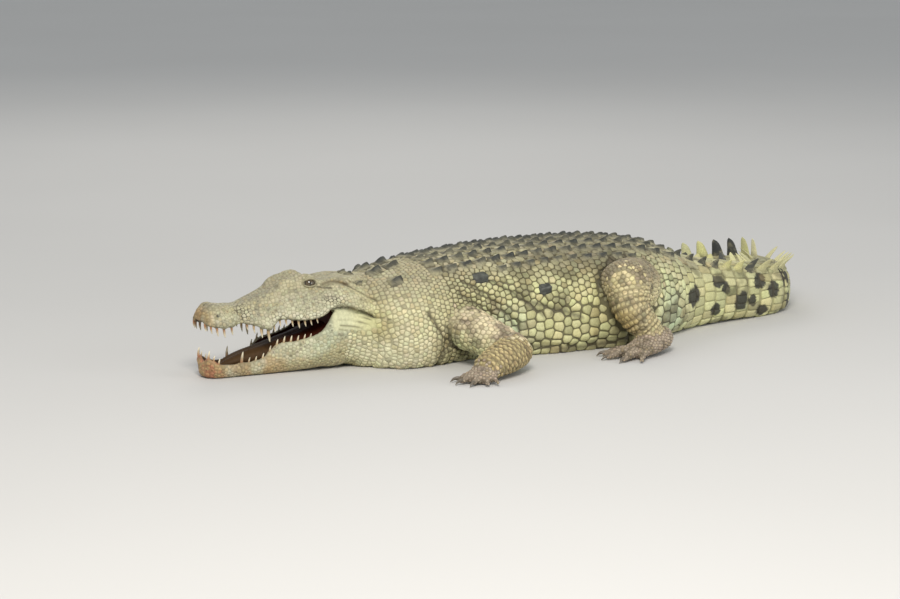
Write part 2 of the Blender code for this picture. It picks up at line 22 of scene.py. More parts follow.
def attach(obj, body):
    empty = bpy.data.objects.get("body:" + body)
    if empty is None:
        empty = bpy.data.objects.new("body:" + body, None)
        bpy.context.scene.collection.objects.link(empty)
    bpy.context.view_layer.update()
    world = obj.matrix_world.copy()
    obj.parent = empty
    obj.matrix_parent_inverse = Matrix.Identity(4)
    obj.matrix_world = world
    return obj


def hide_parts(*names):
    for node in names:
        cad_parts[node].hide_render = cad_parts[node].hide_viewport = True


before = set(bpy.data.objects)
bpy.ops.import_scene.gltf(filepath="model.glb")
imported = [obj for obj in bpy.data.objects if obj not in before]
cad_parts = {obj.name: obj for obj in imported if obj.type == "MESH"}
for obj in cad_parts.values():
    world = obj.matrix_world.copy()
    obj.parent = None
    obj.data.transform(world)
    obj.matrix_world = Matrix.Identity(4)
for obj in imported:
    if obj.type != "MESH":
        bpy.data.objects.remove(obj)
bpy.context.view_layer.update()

# ------------------------------------------------------------------ the shape, as in the solids
HEAD_LENGTH = 0.427      # from the tip of the snout to the nape
S_ORIGIN = 0.62          # the place along the back over the origin
BODY_FROM, TAIL_TIP = -0.085, 2.55
# s, and the backbone's heading there in degrees
HEADING = [
    (-0.46, 1), (0.05, 1.5), (0.25, 6), (0.45, 4), (0.62, 0), (0.85, 2), (1.00, 7), (1.15, 6), (1.27, 6),
    (1.35, 16), (1.43, 46), (1.51, 60), (1.60, 63), (1.70, 82), (1.79, 114), (1.88, 133), (2.00, 139),
    (2.20, 146), (2.55, 128),
]
# s, half width, lowest, highest, height of the widest place, squareness of the back and of the belly
BODY = [
    (-0.085, 0.082, 0.036, 0.168, 0.105, 2.2, 2.3),
    (-0.060, 0.096, 0.020, 0.186, 0.104, 2.2, 2.4),
    (-0.030, 0.106, 0.004, 0.200, 0.100, 2.2, 2.8),
    (0.000, 0.120, -0.006, 0.214, 0.095, 2.2, 3.1),
    (0.030, 0.148, -0.014, 0.226, 0.084, 2.2, 3.4),
    (0.060, 0.176, -0.020, 0.236, 0.078, 2.1, 3.6),
    (0.095, 0.192, -0.022, 0.245, 0.076, 2.1, 3.8),
    (0.150, 0.193, -0.020, 0.254, 0.080, 2.2, 3.8),
    (0.220, 0.186, -0.020, 0.260, 0.092, 2.2, 3.6),
    (0.300, 0.187, -0.020, 0.265, 0.104, 2.3, 3.5),
    (0.420, 0.210, -0.022, 0.269, 0.104, 2.3, 3.8),
    (0.560, 0.226, -0.022, 0.272, 0.100, 2.3, 4.0),
    (0.720, 0.227, -0.022, 0.270, 0.098, 2.3, 4.0),
    (0.840, 0.207, -0.020, 0.260, 0.098, 2.3, 3.6),
    (0.940, 0.168, -0.016, 0.240, 0.100, 2.3, 3.0),
    (1.050, 0.122, -0.012, 0.200, 0.095, 2.3, 2.8),
    (1.180, 0.098, -0.008, 0.172, 0.086, 2.3, 3.0),
    (1.350, 0.078, -0.008, 0.146, 0.074, 2.3, 3.6),
    (1.520, 0.065, -0.007, 0.131, 0.065, 2.2, 3.6),
    (1.720, 0.050, -0.005, 0.110, 0.054, 2.0, 3.0),
    (1.960, 0.036, -0.004, 0.086, 0.042, 2.0, 2.3),
    (2.240, 0.021, -0.003, 0.058, 0.028, 2.0, 2.2),
    (2.480, 0.009, -0.002, 0.028, 0.013, 2.0, 2.2),
    (2.550, 0.004, 0.000, 0.013, 0.007, 2.0, 2.0),
]
# from the snout's tip: half width at the lip, height of the lip, of the upper edge of the side, half width
# of the flat top, height of its crests, of its middle, and of the palate
UPPER_HEAD = [
    (0.000, 0.014, 0.145, 0.159, 0.010, 0.162, 0.162, 0.150),
    (0.008, 0.036, 0.138, 0.168, 0.022, 0.173, 0.172, 0.144),
    (0.020, 0.050, 0.134, 0.172, 0.032, 0.179, 0.177, 0.141),
    (0.039, 0.056, 0.132, 0.174, 0.036, 0.187, 0.184, 0.140),
    (0.069, 0.055, 0.129, 0.172, 0.034, 0.185, 0.183, 0.138),
    (0.102, 0.048, 0.135, 0.171, 0.031, 0.183, 0.182, 0.141),
    (0.134, 0.056, 0.129, 0.177, 0.036, 0.192, 0.191, 0.139),
    (0.171, 0.067, 0.119, 0.184, 0.042, 0.205, 0.202, 0.137),
    (0.198, 0.068, 0.139, 0.193, 0.045, 0.217, 0.209, 0.146),
    (0.216, 0.071, 0.139, 0.201, 0.047, 0.235, 0.213, 0.148),
    (0.236, 0.076, 0.136, 0.208, 0.049, 0.243, 0.217, 0.148),
    (0.260, 0.083, 0.134, 0.215, 0.051, 0.247, 0.220, 0.149),
    (0.284, 0.090, 0.136, 0.219, 0.054, 0.249, 0.223, 0.152),
    (0.310, 0.095, 0.141, 0.221, 0.057, 0.244, 0.225, 0.155),
    (0.336, 0.100, 0.158, 0.221, 0.059, 0.237, 0.228, 0.164),
    (0.366, 0.108, 0.162, 0.222, 0.062, 0.235, 0.230, 0.168),
    (0.396, 0.115, 0.155, 0.222, 0.064, 0.235, 0.232, 0.163),
    (0.424, 0.118, 0.143, 0.218, 0.063, 0.234, 0.232, 0.150),
    (0.448, 0.117, 0.134, 0.206, 0.058, 0.231, 0.231, 0.140),
    (0.470, 0.110, 0.128, 0.190, 0.050, 0.226, 0.230, 0.132),
]
# from the snout's tip: half width, lowest, height of the lip, half width inside, height of the mouth's floor
LOWER_JAW = [
    (0.010, 0.016, 0.012, 0.042, 0.006, 0.037),
    (0.018, 0.032, 0.002, 0.053, 0.013, 0.044),
    (0.030, 0.042, -0.002, 0.049, 0.023, 0.038),
    (0.047, 0.045, -0.003, 0.037, 0.028, 0.029),
    (0.084, 0.046, -0.004, 0.035, 0.030, 0.027),
    (0.126, 0.049, -0.004, 0.037, 0.034, 0.027),
    (0.160, 0.056, -0.002, 0.044, 0.041, 0.029),
    (0.182, 0.062, 0.000, 0.064, 0.046, 0.033),
    (0.202, 0.067, 0.001, 0.077, 0.050, 0.038),
    (0.236, 0.075, 0.003, 0.080, 0.058, 0.045),
    (0.274, 0.084, 0.005, 0.087, 0.066, 0.053),
    (0.306, 0.091, 0.007, 0.098, 0.073, 0.062),
    (0.326, 0.095, 0.009, 0.118, 0.077, 0.072),
    (0.344, 0.099, 0.008, 0.148, 0.081, 0.084),
    (0.372, 0.101, 0.009, 0.158, 0.082, 0.100),
    (0.400, 0.099, 0.016, 0.153, 0.070, 0.112),
]
# from the snout's tip: half width, lowest and highest of the tongue
TONGUE = [(0.059, 0.010, 0.025, 0.034), (0.079, 0.022, 0.022, 0.044), (0.114, 0.031, 0.022, 0.057),
          (0.159, 0.038, 0.024, 0.068), (0.209, 0.047, 0.030, 0.080), (0.264, 0.058, 0.040, 0.092),
          (0.314, 0.066, 0.050, 0.108), (0.350, 0.068, 0.066, 0.126)]
# limbs of the left side: x, y, z, half width, half thickness
UPPER_ARM = [(-0.375, -0.100, 0.108, 0.076, 0.068), (-0.350, -0.225, 0.090, 0.063, 0.056),
             (-0.306, -0.350, 0.054, 0.052, 0.047)]
FOREARM = [(-0.308, -0.362, 0.052, 0.050, 0.046), (-0.362, -0.402, 0.047, 0.049, 0.042),
           (-0.412, -0.426, 0.037, 0.045, 0.034)]
THIGH = [(0.215, -0.085, 0.135, 0.090, 0.085), (0.165, -0.165, 0.158, 0.086, 0.077),
         (0.112, -0.232, 0.178, 0.072, 0.062)]
SHANK = [(0.104, -0.246, 0.176, 0.060, 0.056), (0.104, -0.284, 0.110, 0.056, 0.049),
         (0.140, -0.306, 0.058, 0.046, 0.038)]
FORE_PALM = [(-0.418, -0.428, 0.030, 0.040, 0.026), (-0.455, -0.452, 0.018, 0.042, 0.017)]
HIND_PALM = [(0.168, -0.312, 0.038, 0.038, 0.033), (0.120, -0.336, 0.030, 0.044, 0.028),
             (0.068, -0.354, 0.018, 0.046, 0.017)]
# spread in degrees from the palm's direction, length, half width, and whether the toe has a claw
FORE_TOES = [(-52, 0.046, 0.010, True), (-25, 0.056, 0.010, True), (2, 0.058, 0.010, True),
             (28, 0.052, 0.009, False), (54, 0.044, 0.008, False)]
HIND_TOES = [(-44, 0.078, 0.012, True), (-17, 0.092, 0.012, True), (9, 0.092, 0.012, True),
             (34, 0.078, 0.010, False)]
TOE_SUNK, TOE_SPREAD = 0.012, 0.62       # how deep a toe starts in the palm, and how far across it
TOE = ((0.0, 0.014, 1.05), (0.45, 0.017, 1.1), (1.0, 0.008, 0.72))     # share along, height, scale
CLAW_LENGTH = 0.018
RIGHT_SHIFT = {"fore": 0.035, "hind": -0.030}     # how far back the right feet stand from the left ones
LEG_SPAN = 0.25          # from this far out a leg's points have the whole of that shift
# crests of the tail
CRESTS_FROM, DOUBLE_TO, CRESTS_TO = 1.00, 1.68, 2.49
CREST_PITCH = 1.15       # spacing of the crests over the length of their feet
CREST_SUNK = 0.012       # how deep their feet are sunk in the tail
# s, height, length at the foot, share of the half width at which a paired crest stands, and outward lean
CREST = [(1.00, 0.014, 0.040, 0.46, 0.45), (1.14, 0.018, 0.040, 0.62, 0.45), (1.23, 0.024, 0.040, 0.66, 0.55),
         (1.29, 0.032, 0.040, 0.66, 0.75), (1.42, 0.030, 0.040, 0.66, 1.10), (1.58, 0.030, 0.040, 0.66, 1.10),
         (1.66, 0.032, 0.040, 0.35, 1.10), (1.70, 0.054, 0.043, 0.0, 0.0), (1.80, 0.051, 0.042, 0.0, 0.0),
         (1.90, 0.043, 0.040, 0.0, 0.0), (1.955, 0.039, 0.038, 0.0, 0.0), (2.005, 0.020, 0.037, 0.0, 0.0),
         (2.50, 0.008, 0.026, 0.0, 0.0)]
# teeth: places from the snout's tip and heights of the crowns
UPPER_TEETH = [(0.008, 0.014), (0.019, 0.016), (0.033, 0.022), (0.052, 0.025), (0.074, 0.018),
               (0.118, 0.014), (0.135, 0.018), (0.153, 0.026), (0.171, 0.034), (0.187, 0.020),
               (0.203, 0.016), (0.219, 0.015), (0.235, 0.016), (0.251, 0.018), (0.267, 0.015),
               (0.282, 0.013), (0.298, 0.011)]
LOWER_TEETH = [(0.018, 0.024), (0.029, 0.014), (0.042, 0.016), (0.104, 0.032), (0.124, 0.013),
               (0.142, 0.014), (0.160, 0.016), (0.178, 0.017), (0.196, 0.018), (0.214, 0.022),
               (0.232, 0.022), (0.250, 0.018), (0.267, 0.016), (0.283, 0.013)]
EYE_X, EYE_ACROSS, EYE_Z, EYE_RADIUS = 0.293, 0.047, 0.2235, 0.0180

# ------------------------------------------------------------------ the skin's own sizes
SKIN_DEPTH = 0.0025      # how far the skin lies inside the solids, to leave room for the scales
HEAD_DEPTH = 0.0012      # the same on the head, where the scales are thin
TOE_DEPTH = 0.0010       # and on the toes
VOXEL = 0.0048           # mesh size of the skin before it is refined
FLOOR_GAP = 0.0006       # the lowest that any point of the animal lies
BLUNT_DEPTH = 0.020      # how many metres along a loft stand for the way to the middle of its front end
CREASE_WIDTH, CREASE_REACH = 0.0080, 0.020    # of the creases where the legs meet the body
CREASE_DEPTH = 0.0045
THIGH_FRONT = 0.17       # how far back the crease in front of the thigh goes
LID = 0.0022             # thickness of the eyelids
EYE_OPEN = (0.0136, 0.0070)          # half length and half height of the opening between the lids
SLIT_LIFT = 0.0008       # how far that opening lies over the middle of the eye
EYE_FACING = (-0.22, 0.93, 0.28)     # the way the left eye looks: along, to the left and up
ROUND_END = (15, 32, 50, 66, 79)     # degrees at which rings close a limb's round end
BODY_SIDES, BODY_STEP = 112, 0.007   # points round each ring of the body, and the way between rings
HEAD_RINGS = {"head": 118, "jaw": 98}
HEAD_STEPS = 9           # points between two corners of a section of the head
LIMB_SIDES, LIMB_STEPS = 56, 14      # points round a leg, and rings between two of its rows
TOE_SIDES, TOE_STEPS = 24, 10
HEAD_REACH, EYE_REACH = 0.455, 0.034     # how far the finer mesh of the head and of the eyes reaches
MARKS_REACH, RELIEF_REACH = 0.49, 0.50   # how far behind the snout's tip the head's marks and relief reach
FOREARM_BAND, SHANK_BAND = 0.0155, 0.0165     # from one furrow round a leg to the next
HALF_GIRTH = 0.38        # about how far it is from the middle of the back to that of the belly


# ------------------------------------------------------------------ curves and sections
def through(table, x):
    """Columns 1.. of the table at x, on a smooth curve that doesn't overshoot its rows."""
    rows = np.asarray(table, float)
    keys, values = rows[:, 0], rows[:, 1:]
    x = np.clip(np.atleast_1d(np.asarray(x, float)), keys[0], keys[-1])
    steps = np.diff(keys)[:, None]
    slopes = np.diff(values, axis=0) / steps
    before, after = slopes[:-1], slopes[1:]
    both = before + after
    inner = np.where(before * after > 0, 2 * before * after / np.where(both == 0, 1, both), 0)
    tangent = np.vstack([slopes[:1], inner, slopes[-1:]])
    i = np.clip(np.searchsorted(keys, x, side="right") - 1, 0, len(keys) - 2)
    h = steps[i]
    t = ((x - keys[i])[:, None]) / h
    return (
        (2 * t**3 - 3 * t**2 + 1) * values[i]
        + (t**3 - 2 * t**2 + t) * h * tangent[i]
        + (3 * t**2 - 2 * t**3) * values[i + 1]
        + (t**3 - t**2) * h * tangent[i + 1]
    )


def backbone(s):
    """x, y and heading of the backbone at each s."""
    grid = np.linspace(-0.46, 2.60, 3061)
    angle = np.radians(through(HEADING, grid)[:, 0])
    step = grid[1] - grid[0]
    x = np.concatenate([[0], np.cumsum((np.cos(angle[1:]) + np.cos(angle[:-1])) * step / 2)])
    y = np.concatenate([[0], np.cumsum((np.sin(angle[1:]) + np.sin(angle[:-1])) * step / 2)])
    x -= np.interp(S_ORIGIN, grid, x)
    y -= np.interp(S_ORIGIN, grid, y)
    return np.interp(s, grid, x), np.interp(s, grid, y), np.interp(s, grid, angle)


def place(s, across, z):
    """World points from places along the body, distances to the animal's left, and heights."""
    x, y, heading = backbone(s)
    return np.stack([x + across * np.sin(heading), y - across * np.cos(heading), z + 0 * x], axis=-1)


def on_head(x, across, z):
    """World points from distances behind the snout's tip, distances to the left, and heights."""
    return place(np.asarray(x, float) - HEAD_LENGTH, np.asarray(across, float), np.asarray(z, float))


def between(a, b, c, d, t):
    """A point of the smooth curve through a, b, c and d, at the share t of the way from b to c."""
    bend = (2 * a - 5 * b + 4 * c - d) * t**2 + (3 * b - a - 3 * c + d) * t**3
    return b + 0.5 * ((c - a) * t + bend)


def closed_curve(points, per_span):
    """A smooth closed curve through the points."""
    p = np.asarray(points, float)
    a, b, c, d = np.roll(p, 1, 0), p, np.roll(p, -1, 0), np.roll(p, -2, 0)
    made = [between(a, b, c, d, t) for t in np.arange(per_span) / per_span]
    return np.stack(made, axis=1).reshape(-1, 2)


def smooth_path(points, per_span):
    """Points on a smooth open curve through the given ones, whose columns may hold more than a place."""
    p = np.asarray(points, float)
    p = np.vstack([2 * p[0] - p[1], p, 2 * p[-1] - p[-2]])
    made = []
    for a, b, c, d in zip(p[:-3], p[1:-2], p[2:-1], p[3:]):
        made += [between(a, b, c, d, t) for t in np.arange(per_span) / per_span]
    return np.array(made + [p[-2]])


def head_section(x, half, per_span):
    """Points round the head at x, from the left half of their outline, given from its top to its bottom."""
    whole = half + [(-y, z) for y, z in reversed(half[1:-1])]
    y, z = closed_curve(whole, per_span).T
    return on_head(np.full(len(y), x), y, np.maximum(z, FLOOR_GAP))


def body_ring(s, sides, grow):
    """Points round the body at s, from the middle of the back down the left side and up the right."""
    half, low, high, wide, back, belly = through(BODY, s)[0]
    turn = math.pi / 2 - np.arange(sides) / sides * 2 * math.pi
    across, up = np.cos(turn), np.sin(turn)
    power = np.where(up > 0, 2 / back, 2 / belly)
    rise = np.where(up > 0, high + grow - wide, wide - low + grow)
    y = (half + grow) * np.sign(across) * np.abs(across) ** power
    z = wide + rise * np.sign(up) * np.abs(up) ** power
    return place(np.full(sides, s), y, np.maximum(z, FLOOR_GAP))


def upper_ring(x, per_span, grow):
    """Points round the skull and upper jaw at x from the snout's tip, from the middle of the top."""
    lip, lip_z, edge_z, top, crest_z, middle_z, palate_z = through(UPPER_HEAD, x)[0]
    half = [
        (0, middle_z + grow),
        (0.70 * top, crest_z + grow),
        (1.10 * top + grow, edge_z + grow),
        (lip + grow, lip_z + 0.38 * (edge_z - lip_z)),
        (0.97 * lip + grow, lip_z - grow),
        (0.62 * lip, palate_z - grow),
        (0, palate_z - grow),
    ]
    return head_section(x, half, per_span)


def lower_ring(x, per_span, grow):
    """Points round the lower jaw at x from the snout's tip, from the middle of the mouth's floor."""
    half_width, low, lip_z, inside, floor_z = through(LOWER_JAW, x)[0]
    half = [
        (0, floor_z + grow),
        (0.88 * inside, floor_z + grow),
        (inside, lip_z + grow),
        (0.95 * half_width + grow, lip_z + grow),
        (half_width + grow, low + 0.42 * (lip_z - low)),
        (0.62 * half_width, low - grow),
        (0, low - grow),
    ]
    return head_section(x, half, per_span)


def limb_rings(points, sides, per_span, grow):
    """Rings of a round-ended limb along points of (x, y, z, half width, half thickness), from the top."""
    path = smooth_path(points, per_span)
    centre, size = path[:, :3], path[:, 3:] + grow
    tangent = np.gradient(centre, axis=0)
    tangent /= np.linalg.norm(tangent, axis=1)[:, None]
    sections = list(zip(centre, tangent, size))
    for turn in np.radians(ROUND_END):
        out, narrow = math.sin(turn), math.cos(turn)
        sections.insert(0, (centre[0] - tangent[0] * out * size[0].mean(), tangent[0], size[0] * narrow))
        sections.append((centre[-1] + tangent[-1] * out * size[-1].mean(), tangent[-1], size[-1] * narrow))
    turn = math.pi / 2 + np.arange(sides) / sides * 2 * math.pi
    rings = []
    for middle, forward, (wide, thick) in sections:
        up = np.array([0.0, 0.0, 1.0]) - forward * forward[2]
        up /= np.linalg.norm(up)
        side = np.cross(up, forward)
        ring = middle + np.outer(np.cos(turn) * wide, side) + np.outer(np.sin(turn) * thick, up)
        ring[:, 2] = np.maximum(ring[:, 2], FLOOR_GAP)
        rings.append(ring)
    return rings


def toe_points(palm, spread, length, half):
    """The path of one toe: out of the palm's end, over a low knuckle and down to the floor."""
    root, end = np.array(palm[-2][:2]), np.array(palm[-1][:2])
    ahead = (end - root) / np.linalg.norm(end - root)
    a = math.radians(spread)
    direction = np.array([ahead[0] * math.cos(a) - ahead[1] * math.sin(a),
                          ahead[0] * math.sin(a) + ahead[1] * math.cos(a)])
    side = np.array([-ahead[1], ahead[0]]) * math.sin(a)
    start = end - ahead * TOE_SUNK + side * palm[-1][3] * TOE_SPREAD
    rows = []
    for share, z, scale in TOE:
        x, y = start + direction * length * share
        rows.append((x, y, z, half * scale, half * scale * 0.95))
    return rows, direction


def on_side(points, side, shift):
    """The points on the left as they are, or mirrored to the right and moved along the body."""
    if side == "left":
        return points
    return [(x + shift * min(1.0, abs(y) / LEG_SPAN), -y, *rest) for x, y, *rest in points]


# ------------------------------------------------------------------ the parts of the body as lofts
Whereabouts = namedtuple("Whereabouts", "number along down way")    # of points on the parts


def loft_faces(rings, sides, first=0):
    """Quads round a loft and a face over each of its ends, for points that start at index first."""
    grid = first + np.arange(rings * sides).reshape(rings, sides)
    onward = np.roll(grid, -1, axis=1)
    quads = np.stack([grid[:-1], onward[:-1], onward[1:], grid[1:]], axis=-1).reshape(-1, 4)
    return quads, [grid[0][::-1], grid[-1]]


class Part:
    """One loft of the animal.  A place on it is a distance along and one round, from the top of its rings."""

    def __init__(self, name, rings, along):
        self.name = name
        self.along = np.asarray(along, float)
        rings = np.asarray(rings)
        self.sides = rings.shape[1]
        self.closed = np.concatenate([rings, rings[:, :1]], axis=1)
        steps = np.linalg.norm(np.diff(self.closed, axis=1), axis=2)
        self.round = np.concatenate([np.zeros((len(rings), 1)), np.cumsum(steps, axis=1)], axis=1)
        self.girth = self.round[:, -1]

    def inward(self, along):
        """How far towards the middle of its blunt front end a place lies, from 0 to 1."""
        return np.clip((self.along[0] - along) / BLUNT_DEPTH, 0, 0.95)

    def girth_at(self, along):
        return np.interp(along, self.along, self.girth) * (1 - self.inward(along))

    def on_ring(self, i, way):
        """Points on rings i at distances round them."""
        rows = self.round[i]
        way = way % self.girth[i]
        k = np.clip((rows <= way[:, None]).sum(axis=1) - 1, 0, self.sides - 1)
        n = np.arange(len(k))
        share = ((way - rows[n, k]) / np.maximum(rows[n, k + 1] - rows[n, k], 1e-9))[:, None]
        return self.closed[i, k] * (1 - share) + self.closed[i, k + 1] * share

    def point(self, along, share):
        """Points at distances along, and shares of the whole way round from the top."""
        i = np.clip(np.searchsorted(self.along, along, side="right") - 1, 0, len(self.along) - 2)
        t = ((along - self.along[i]) / (self.along[i + 1] - self.along[i])).clip(0)[:, None]
        near = self.on_ring(i, share * self.girth[i])
        made = near * (1 - t) + self.on_ring(i + 1, share * self.girth[i + 1]) * t
        inward = self.inward(along)[:, None]
        return made * (1 - inward) + self.closed[0, :-1].mean(axis=0) * inward

    def faces(self, first=0):
        """Its faces, for points that start at index first: quads ring by ring, then the two ends."""
        quads, caps = loft_faces(len(self.along), self.sides, first)
        return quads.tolist() + [cap.tolist() for cap in caps]

    def points(self):
        return self.closed[:, :-1].reshape(-1, 3)


def lengths_of(rings):
    """How far along a limb each of its rings lies."""
    middles = np.array([ring.mean(axis=0) for ring in rings])
    return np.concatenate([[0], np.cumsum(np.linalg.norm(np.diff(middles, axis=0), axis=1))])


# which legs, their lengths from the body outwards, the last of them, and its toes
LIMBS = (
    ("fore", {"upper_arm": UPPER_ARM, "forearm": FOREARM, "fore_palm": FORE_PALM}, FORE_PALM, FORE_TOES),
    ("hind", {"thigh": THIGH, "shank": SHANK, "hind_palm": HIND_PALM}, HIND_PALM, HIND_TOES),
)


def all_parts():
    """Every loft of flesh, drawn in by the depth of the scales."""
    along = np.arange(BODY_FROM, TAIL_TIP - 0.004, BODY_STEP)
    parts = [Part("body", [body_ring(s, BODY_SIDES, -SKIN_DEPTH) for s in along], along)]
    for name, ring, table in (("head", upper_ring, UPPER_HEAD), ("jaw", lower_ring, LOWER_JAW)):
        along = np.linspace(table[0][0], table[-1][0], HEAD_RINGS[name])
        parts.append(Part(name, [ring(x, HEAD_STEPS, -HEAD_DEPTH) for x in along], along))
    for side in ("left", "right"):
        for which, lengths, palm, toes in LIMBS:
            shift = RIGHT_SHIFT[which]
            for name, rows in lengths.items():
                rings = limb_rings(on_side(rows, side, shift), LIMB_SIDES, LIMB_STEPS, -SKIN_DEPTH)
                parts.append(Part(name, rings, lengths_of(rings)))
            for spread, length, half, _ in toes:
                rows, _ = toe_points(palm, spread, length, half)
                rings = limb_rings(on_side(rows, side, shift), TOE_SIDES, TOE_STEPS, -TOE_DEPTH)
                parts.append(Part(which + "_toe", rings, lengths_of(rings)))
    return parts


class Places:
    """Finds which part of the animal a point belongs to, and where on it."""

    def __init__(self, parts):
        self.parts = parts
        self.names = np.array([part.name for part in parts])
        points, faces, self.first_face = [], [], []
        count = 0
        for part in parts:
            self.first_face.append(len(faces))
            faces += part.faces(count)
            points.append(part.points())
            count += len(points[-1])
        self.points = np.concatenate(points)
        self.faces = faces
        self.tree = BVHTree.FromPolygons(self.points.tolist(), faces)
        self.body, *self.joins = (BVHTree.FromPolygons(part.points().tolist(), part.faces())
                                  for part in parts if part.name in ("body", "upper_arm", "thigh"))

    def creases(self, where):
        """How near each point is to where a leg meets the body, from 0 to 1."""
        nearness = np.zeros(len(where))
        for tree in self.joins:
            for n, point in enumerate(map(Vector, where.tolist())):
                far = tree.find_nearest(point, CREASE_REACH)[3]
                if far is None:
                    continue
                other = self.body.find_nearest(point, CREASE_REACH)[3]
                if other is not None:
                    nearness[n] = max(nearness[n], math.exp(-(max(far, other) / CREASE_WIDTH) ** 2))
        x, _, z = where.T
        over_shoulder = 0.85 * ease(0.085, 0.125, z) * (x < 0)
        behind_thigh = 0.9 * (x > THIGH_FRONT) * ease(0, 0.05, x - THIGH_FRONT)
        return nearness * (1 - over_shoulder) * (1 - behind_thigh)

    def locate(self, where):
        """Part number, distance along, share of the way down from the top, and way round, for each point."""
        hits = np.array([self.tree.find_nearest(p)[2] for p in map(Vector, where.tolist())])
        number = np.searchsorted(self.first_face, hits, side="right") - 1
        along, way = np.zeros(len(where)), np.zeros(len(where))
        for n, part in enumerate(self.parts):
            mine = np.flatnonzero(number == n)
            face = hits[mine] - self.first_face[n]
            last = len(part.along) - 2
            front_cap = (last + 1) * part.sides
            ring = np.where(face == front_cap, 0, np.minimum(face // part.sides, last))
            side = face % part.sides
            a = part.closed[ring, side]
            ahead, aside = part.closed[ring + 1, side] - a, part.closed[ring, side + 1] - a
            off = where[mine] - a
            t = np.clip((off * ahead).sum(1) / np.maximum((ahead**2).sum(1), 1e-12), 0, 1)
            u = np.clip((off * aside).sum(1) / np.maximum((aside**2).sum(1), 1e-12), 0, 1)
            along[mine] = part.along[ring] + t * (part.along[ring + 1] - part.along[ring])
            way[mine] = (part.round[ring, side] + u * np.linalg.norm(aside, axis=1)) / part.girth[ring]
        return Whereabouts(number, along, 2 * np.minimum(way, 1 - way), way)


# ------------------------------------------------------------------ number patterns
def ease(low, high, x):
    """0 below low, 1 above high, and a smooth climb between them."""
    t = np.clip((x - low) / (high - low), 0, 1)
    return t * t * (3 - 2 * t)


def hill(x, centre, width):
    """1 at the centre, falling smoothly to 0 on both sides."""
    return np.exp(-(((x - centre) / width) ** 2))


def wave(x, length, phase):
    return np.sin(x * 2 * math.pi / length + phase)


def hashed(i, j, k, seed):
    """A number from 0 to 1 for each corner of a grid, which looks random."""
    n = np.sin(i * 127.1 + j * 311.7 + k * 74.7 + seed * 53.3) * 43758.5453
    return n - np.floor(n)


def noise(points, size, seed):
    """Smooth noise from 0 to 1 with lumps of the given size."""
    q = points / size
    base = np.floor(q)
    f = q - base
    f = f * f * (3 - 2 * f)
    total = np.zeros(len(points))
    for i in (0, 1):
        for j in (0, 1):
            for k in (0, 1):
                weight = np.ones(len(points))
                for axis, corner in enumerate((i, j, k)):
                    weight *= f[:, axis] if corner else 1 - f[:, axis]
                total += weight * hashed(base[:, 0] + i, base[:, 1] + j, base[:, 2] + k, seed)
    return total


def mottle(points, size, seed):
    """Noise of three sizes together, from 0 to 1."""
    return (noise(points, size, seed) * 4 + noise(points, size / 2, seed + 1) * 2
            + noise(points, size / 4, seed + 2)) / 7


def spots(points, size, seed, low, high):
    """Ragged spots of about the given size: 1 inside, 0 outside, with an edge between the two levels."""
    return ease(low, high, mottle(points, size, seed))


def rgb(red, green, blue):
    """Linear colour from the usual 0 to 255 values."""
    c = np.array([red, green, blue]) / 255
    return np.where(c <= 0.04045, c / 12.92, ((c + 0.055) / 1.055) ** 2.4)


def mix(a, b, share):
    share = np.clip(share, 0, 1)[..., None]
    return a * (1 - share) + b * share


def washed(colour, *washes):
    """A colour after thin coats of paint, each a tint and how much of it lies at each point."""
    for tint, share in washes:
        colour = mix(colour, tint, share)
    return colour


# ------------------------------------------------------------------ the hide's colours
CREAM, BONE, GREY_BONE = rgb(204, 196, 158), rgb(212, 208, 174), rgb(176, 168, 142)
RUST, ORANGE, WARM = rgb(198, 132, 98), rgb(192, 152, 96), rgb(168, 146, 98)
YELLOW_GREEN, PALE_GREEN, OLIVE = rgb(194, 190, 140), rgb(194, 206, 172), rgb(96, 90, 62)
BACK_TAN, BACK_BROWN, BELLY = rgb(164, 156, 126), rgb(88, 82, 64), rgb(206, 207, 156)
# the second of these is painted shade, for the grooves between scales, folds, creases and the rims of shields
DARK, GROOVE_SHADE, KEEL = rgb(46, 45, 40), rgb(62, 54, 38), rgb(56, 57, 52)
SHIELD, SHIELD_DARK, SHIELD_PALE = rgb(126, 121, 98), rgb(74, 70, 54), rgb(170, 162, 124)
ARM_BONE, ARM_BROWN = rgb(208, 194, 158), rgb(112, 96, 80)
# the second of these is painted shade, for the furrows round the forearm and the shank
FOREARM_SAND, LEG_FURROW_SHADE = rgb(188, 170, 122), rgb(86, 72, 56)
THIGH_CREAM, THIGH_BROWN, THIGH_OLIVE = rgb(220, 208, 162), rgb(126, 114, 92), rgb(92, 86, 68)
SHANK_SAND, LEG_BROWN, LEG_GOLD = rgb(214, 200, 152), rgb(160, 148, 112), rgb(204, 174, 100)
LEG_OLIVE, FOOT_GREY = rgb(84, 76, 56), rgb(164, 148, 128)
JAW_SAND, JAW_BROWN = rgb(208, 192, 142), rgb(150, 118, 80)
CHEEK, LIP_CREAM, JOWL_YELLOW = rgb(198, 196, 158), rgb(220, 217, 188), rgb(184, 180, 120)
# these three are painted shade, in the fold behind the mouth's corner, in the ear's slit and in the furrow by
# the skull table
SMILE_SHADE, EAR_SLIT_SHADE, TABLE_EDGE_SHADE = rgb(36, 32, 22), rgb(74, 48, 24), rgb(84, 74, 48)
# the first is painted shade in the eye's corner; the second is painted shade round the lids' opening, and
# also the dark dot in the pits of some plates
EYE_CORNER_SHADE, LID_DARK = rgb(44, 34, 22), rgb(48, 36, 22)
# the first two are painted shade inside the mouth, the first deep inside and the second towards the front
MOUTH_SHADE, MOUTH_GREY, TONGUE_BROWN = rgb(62, 24, 12), rgb(64, 46, 27), rgb(74, 54, 32)
TOOTH, TOOTH_ROOT = rgb(222, 212, 184), rgb(178, 152, 112)
TOOTH_RUST, TOOTH_STAIN = rgb(150, 88, 62), rgb(120, 100, 70)

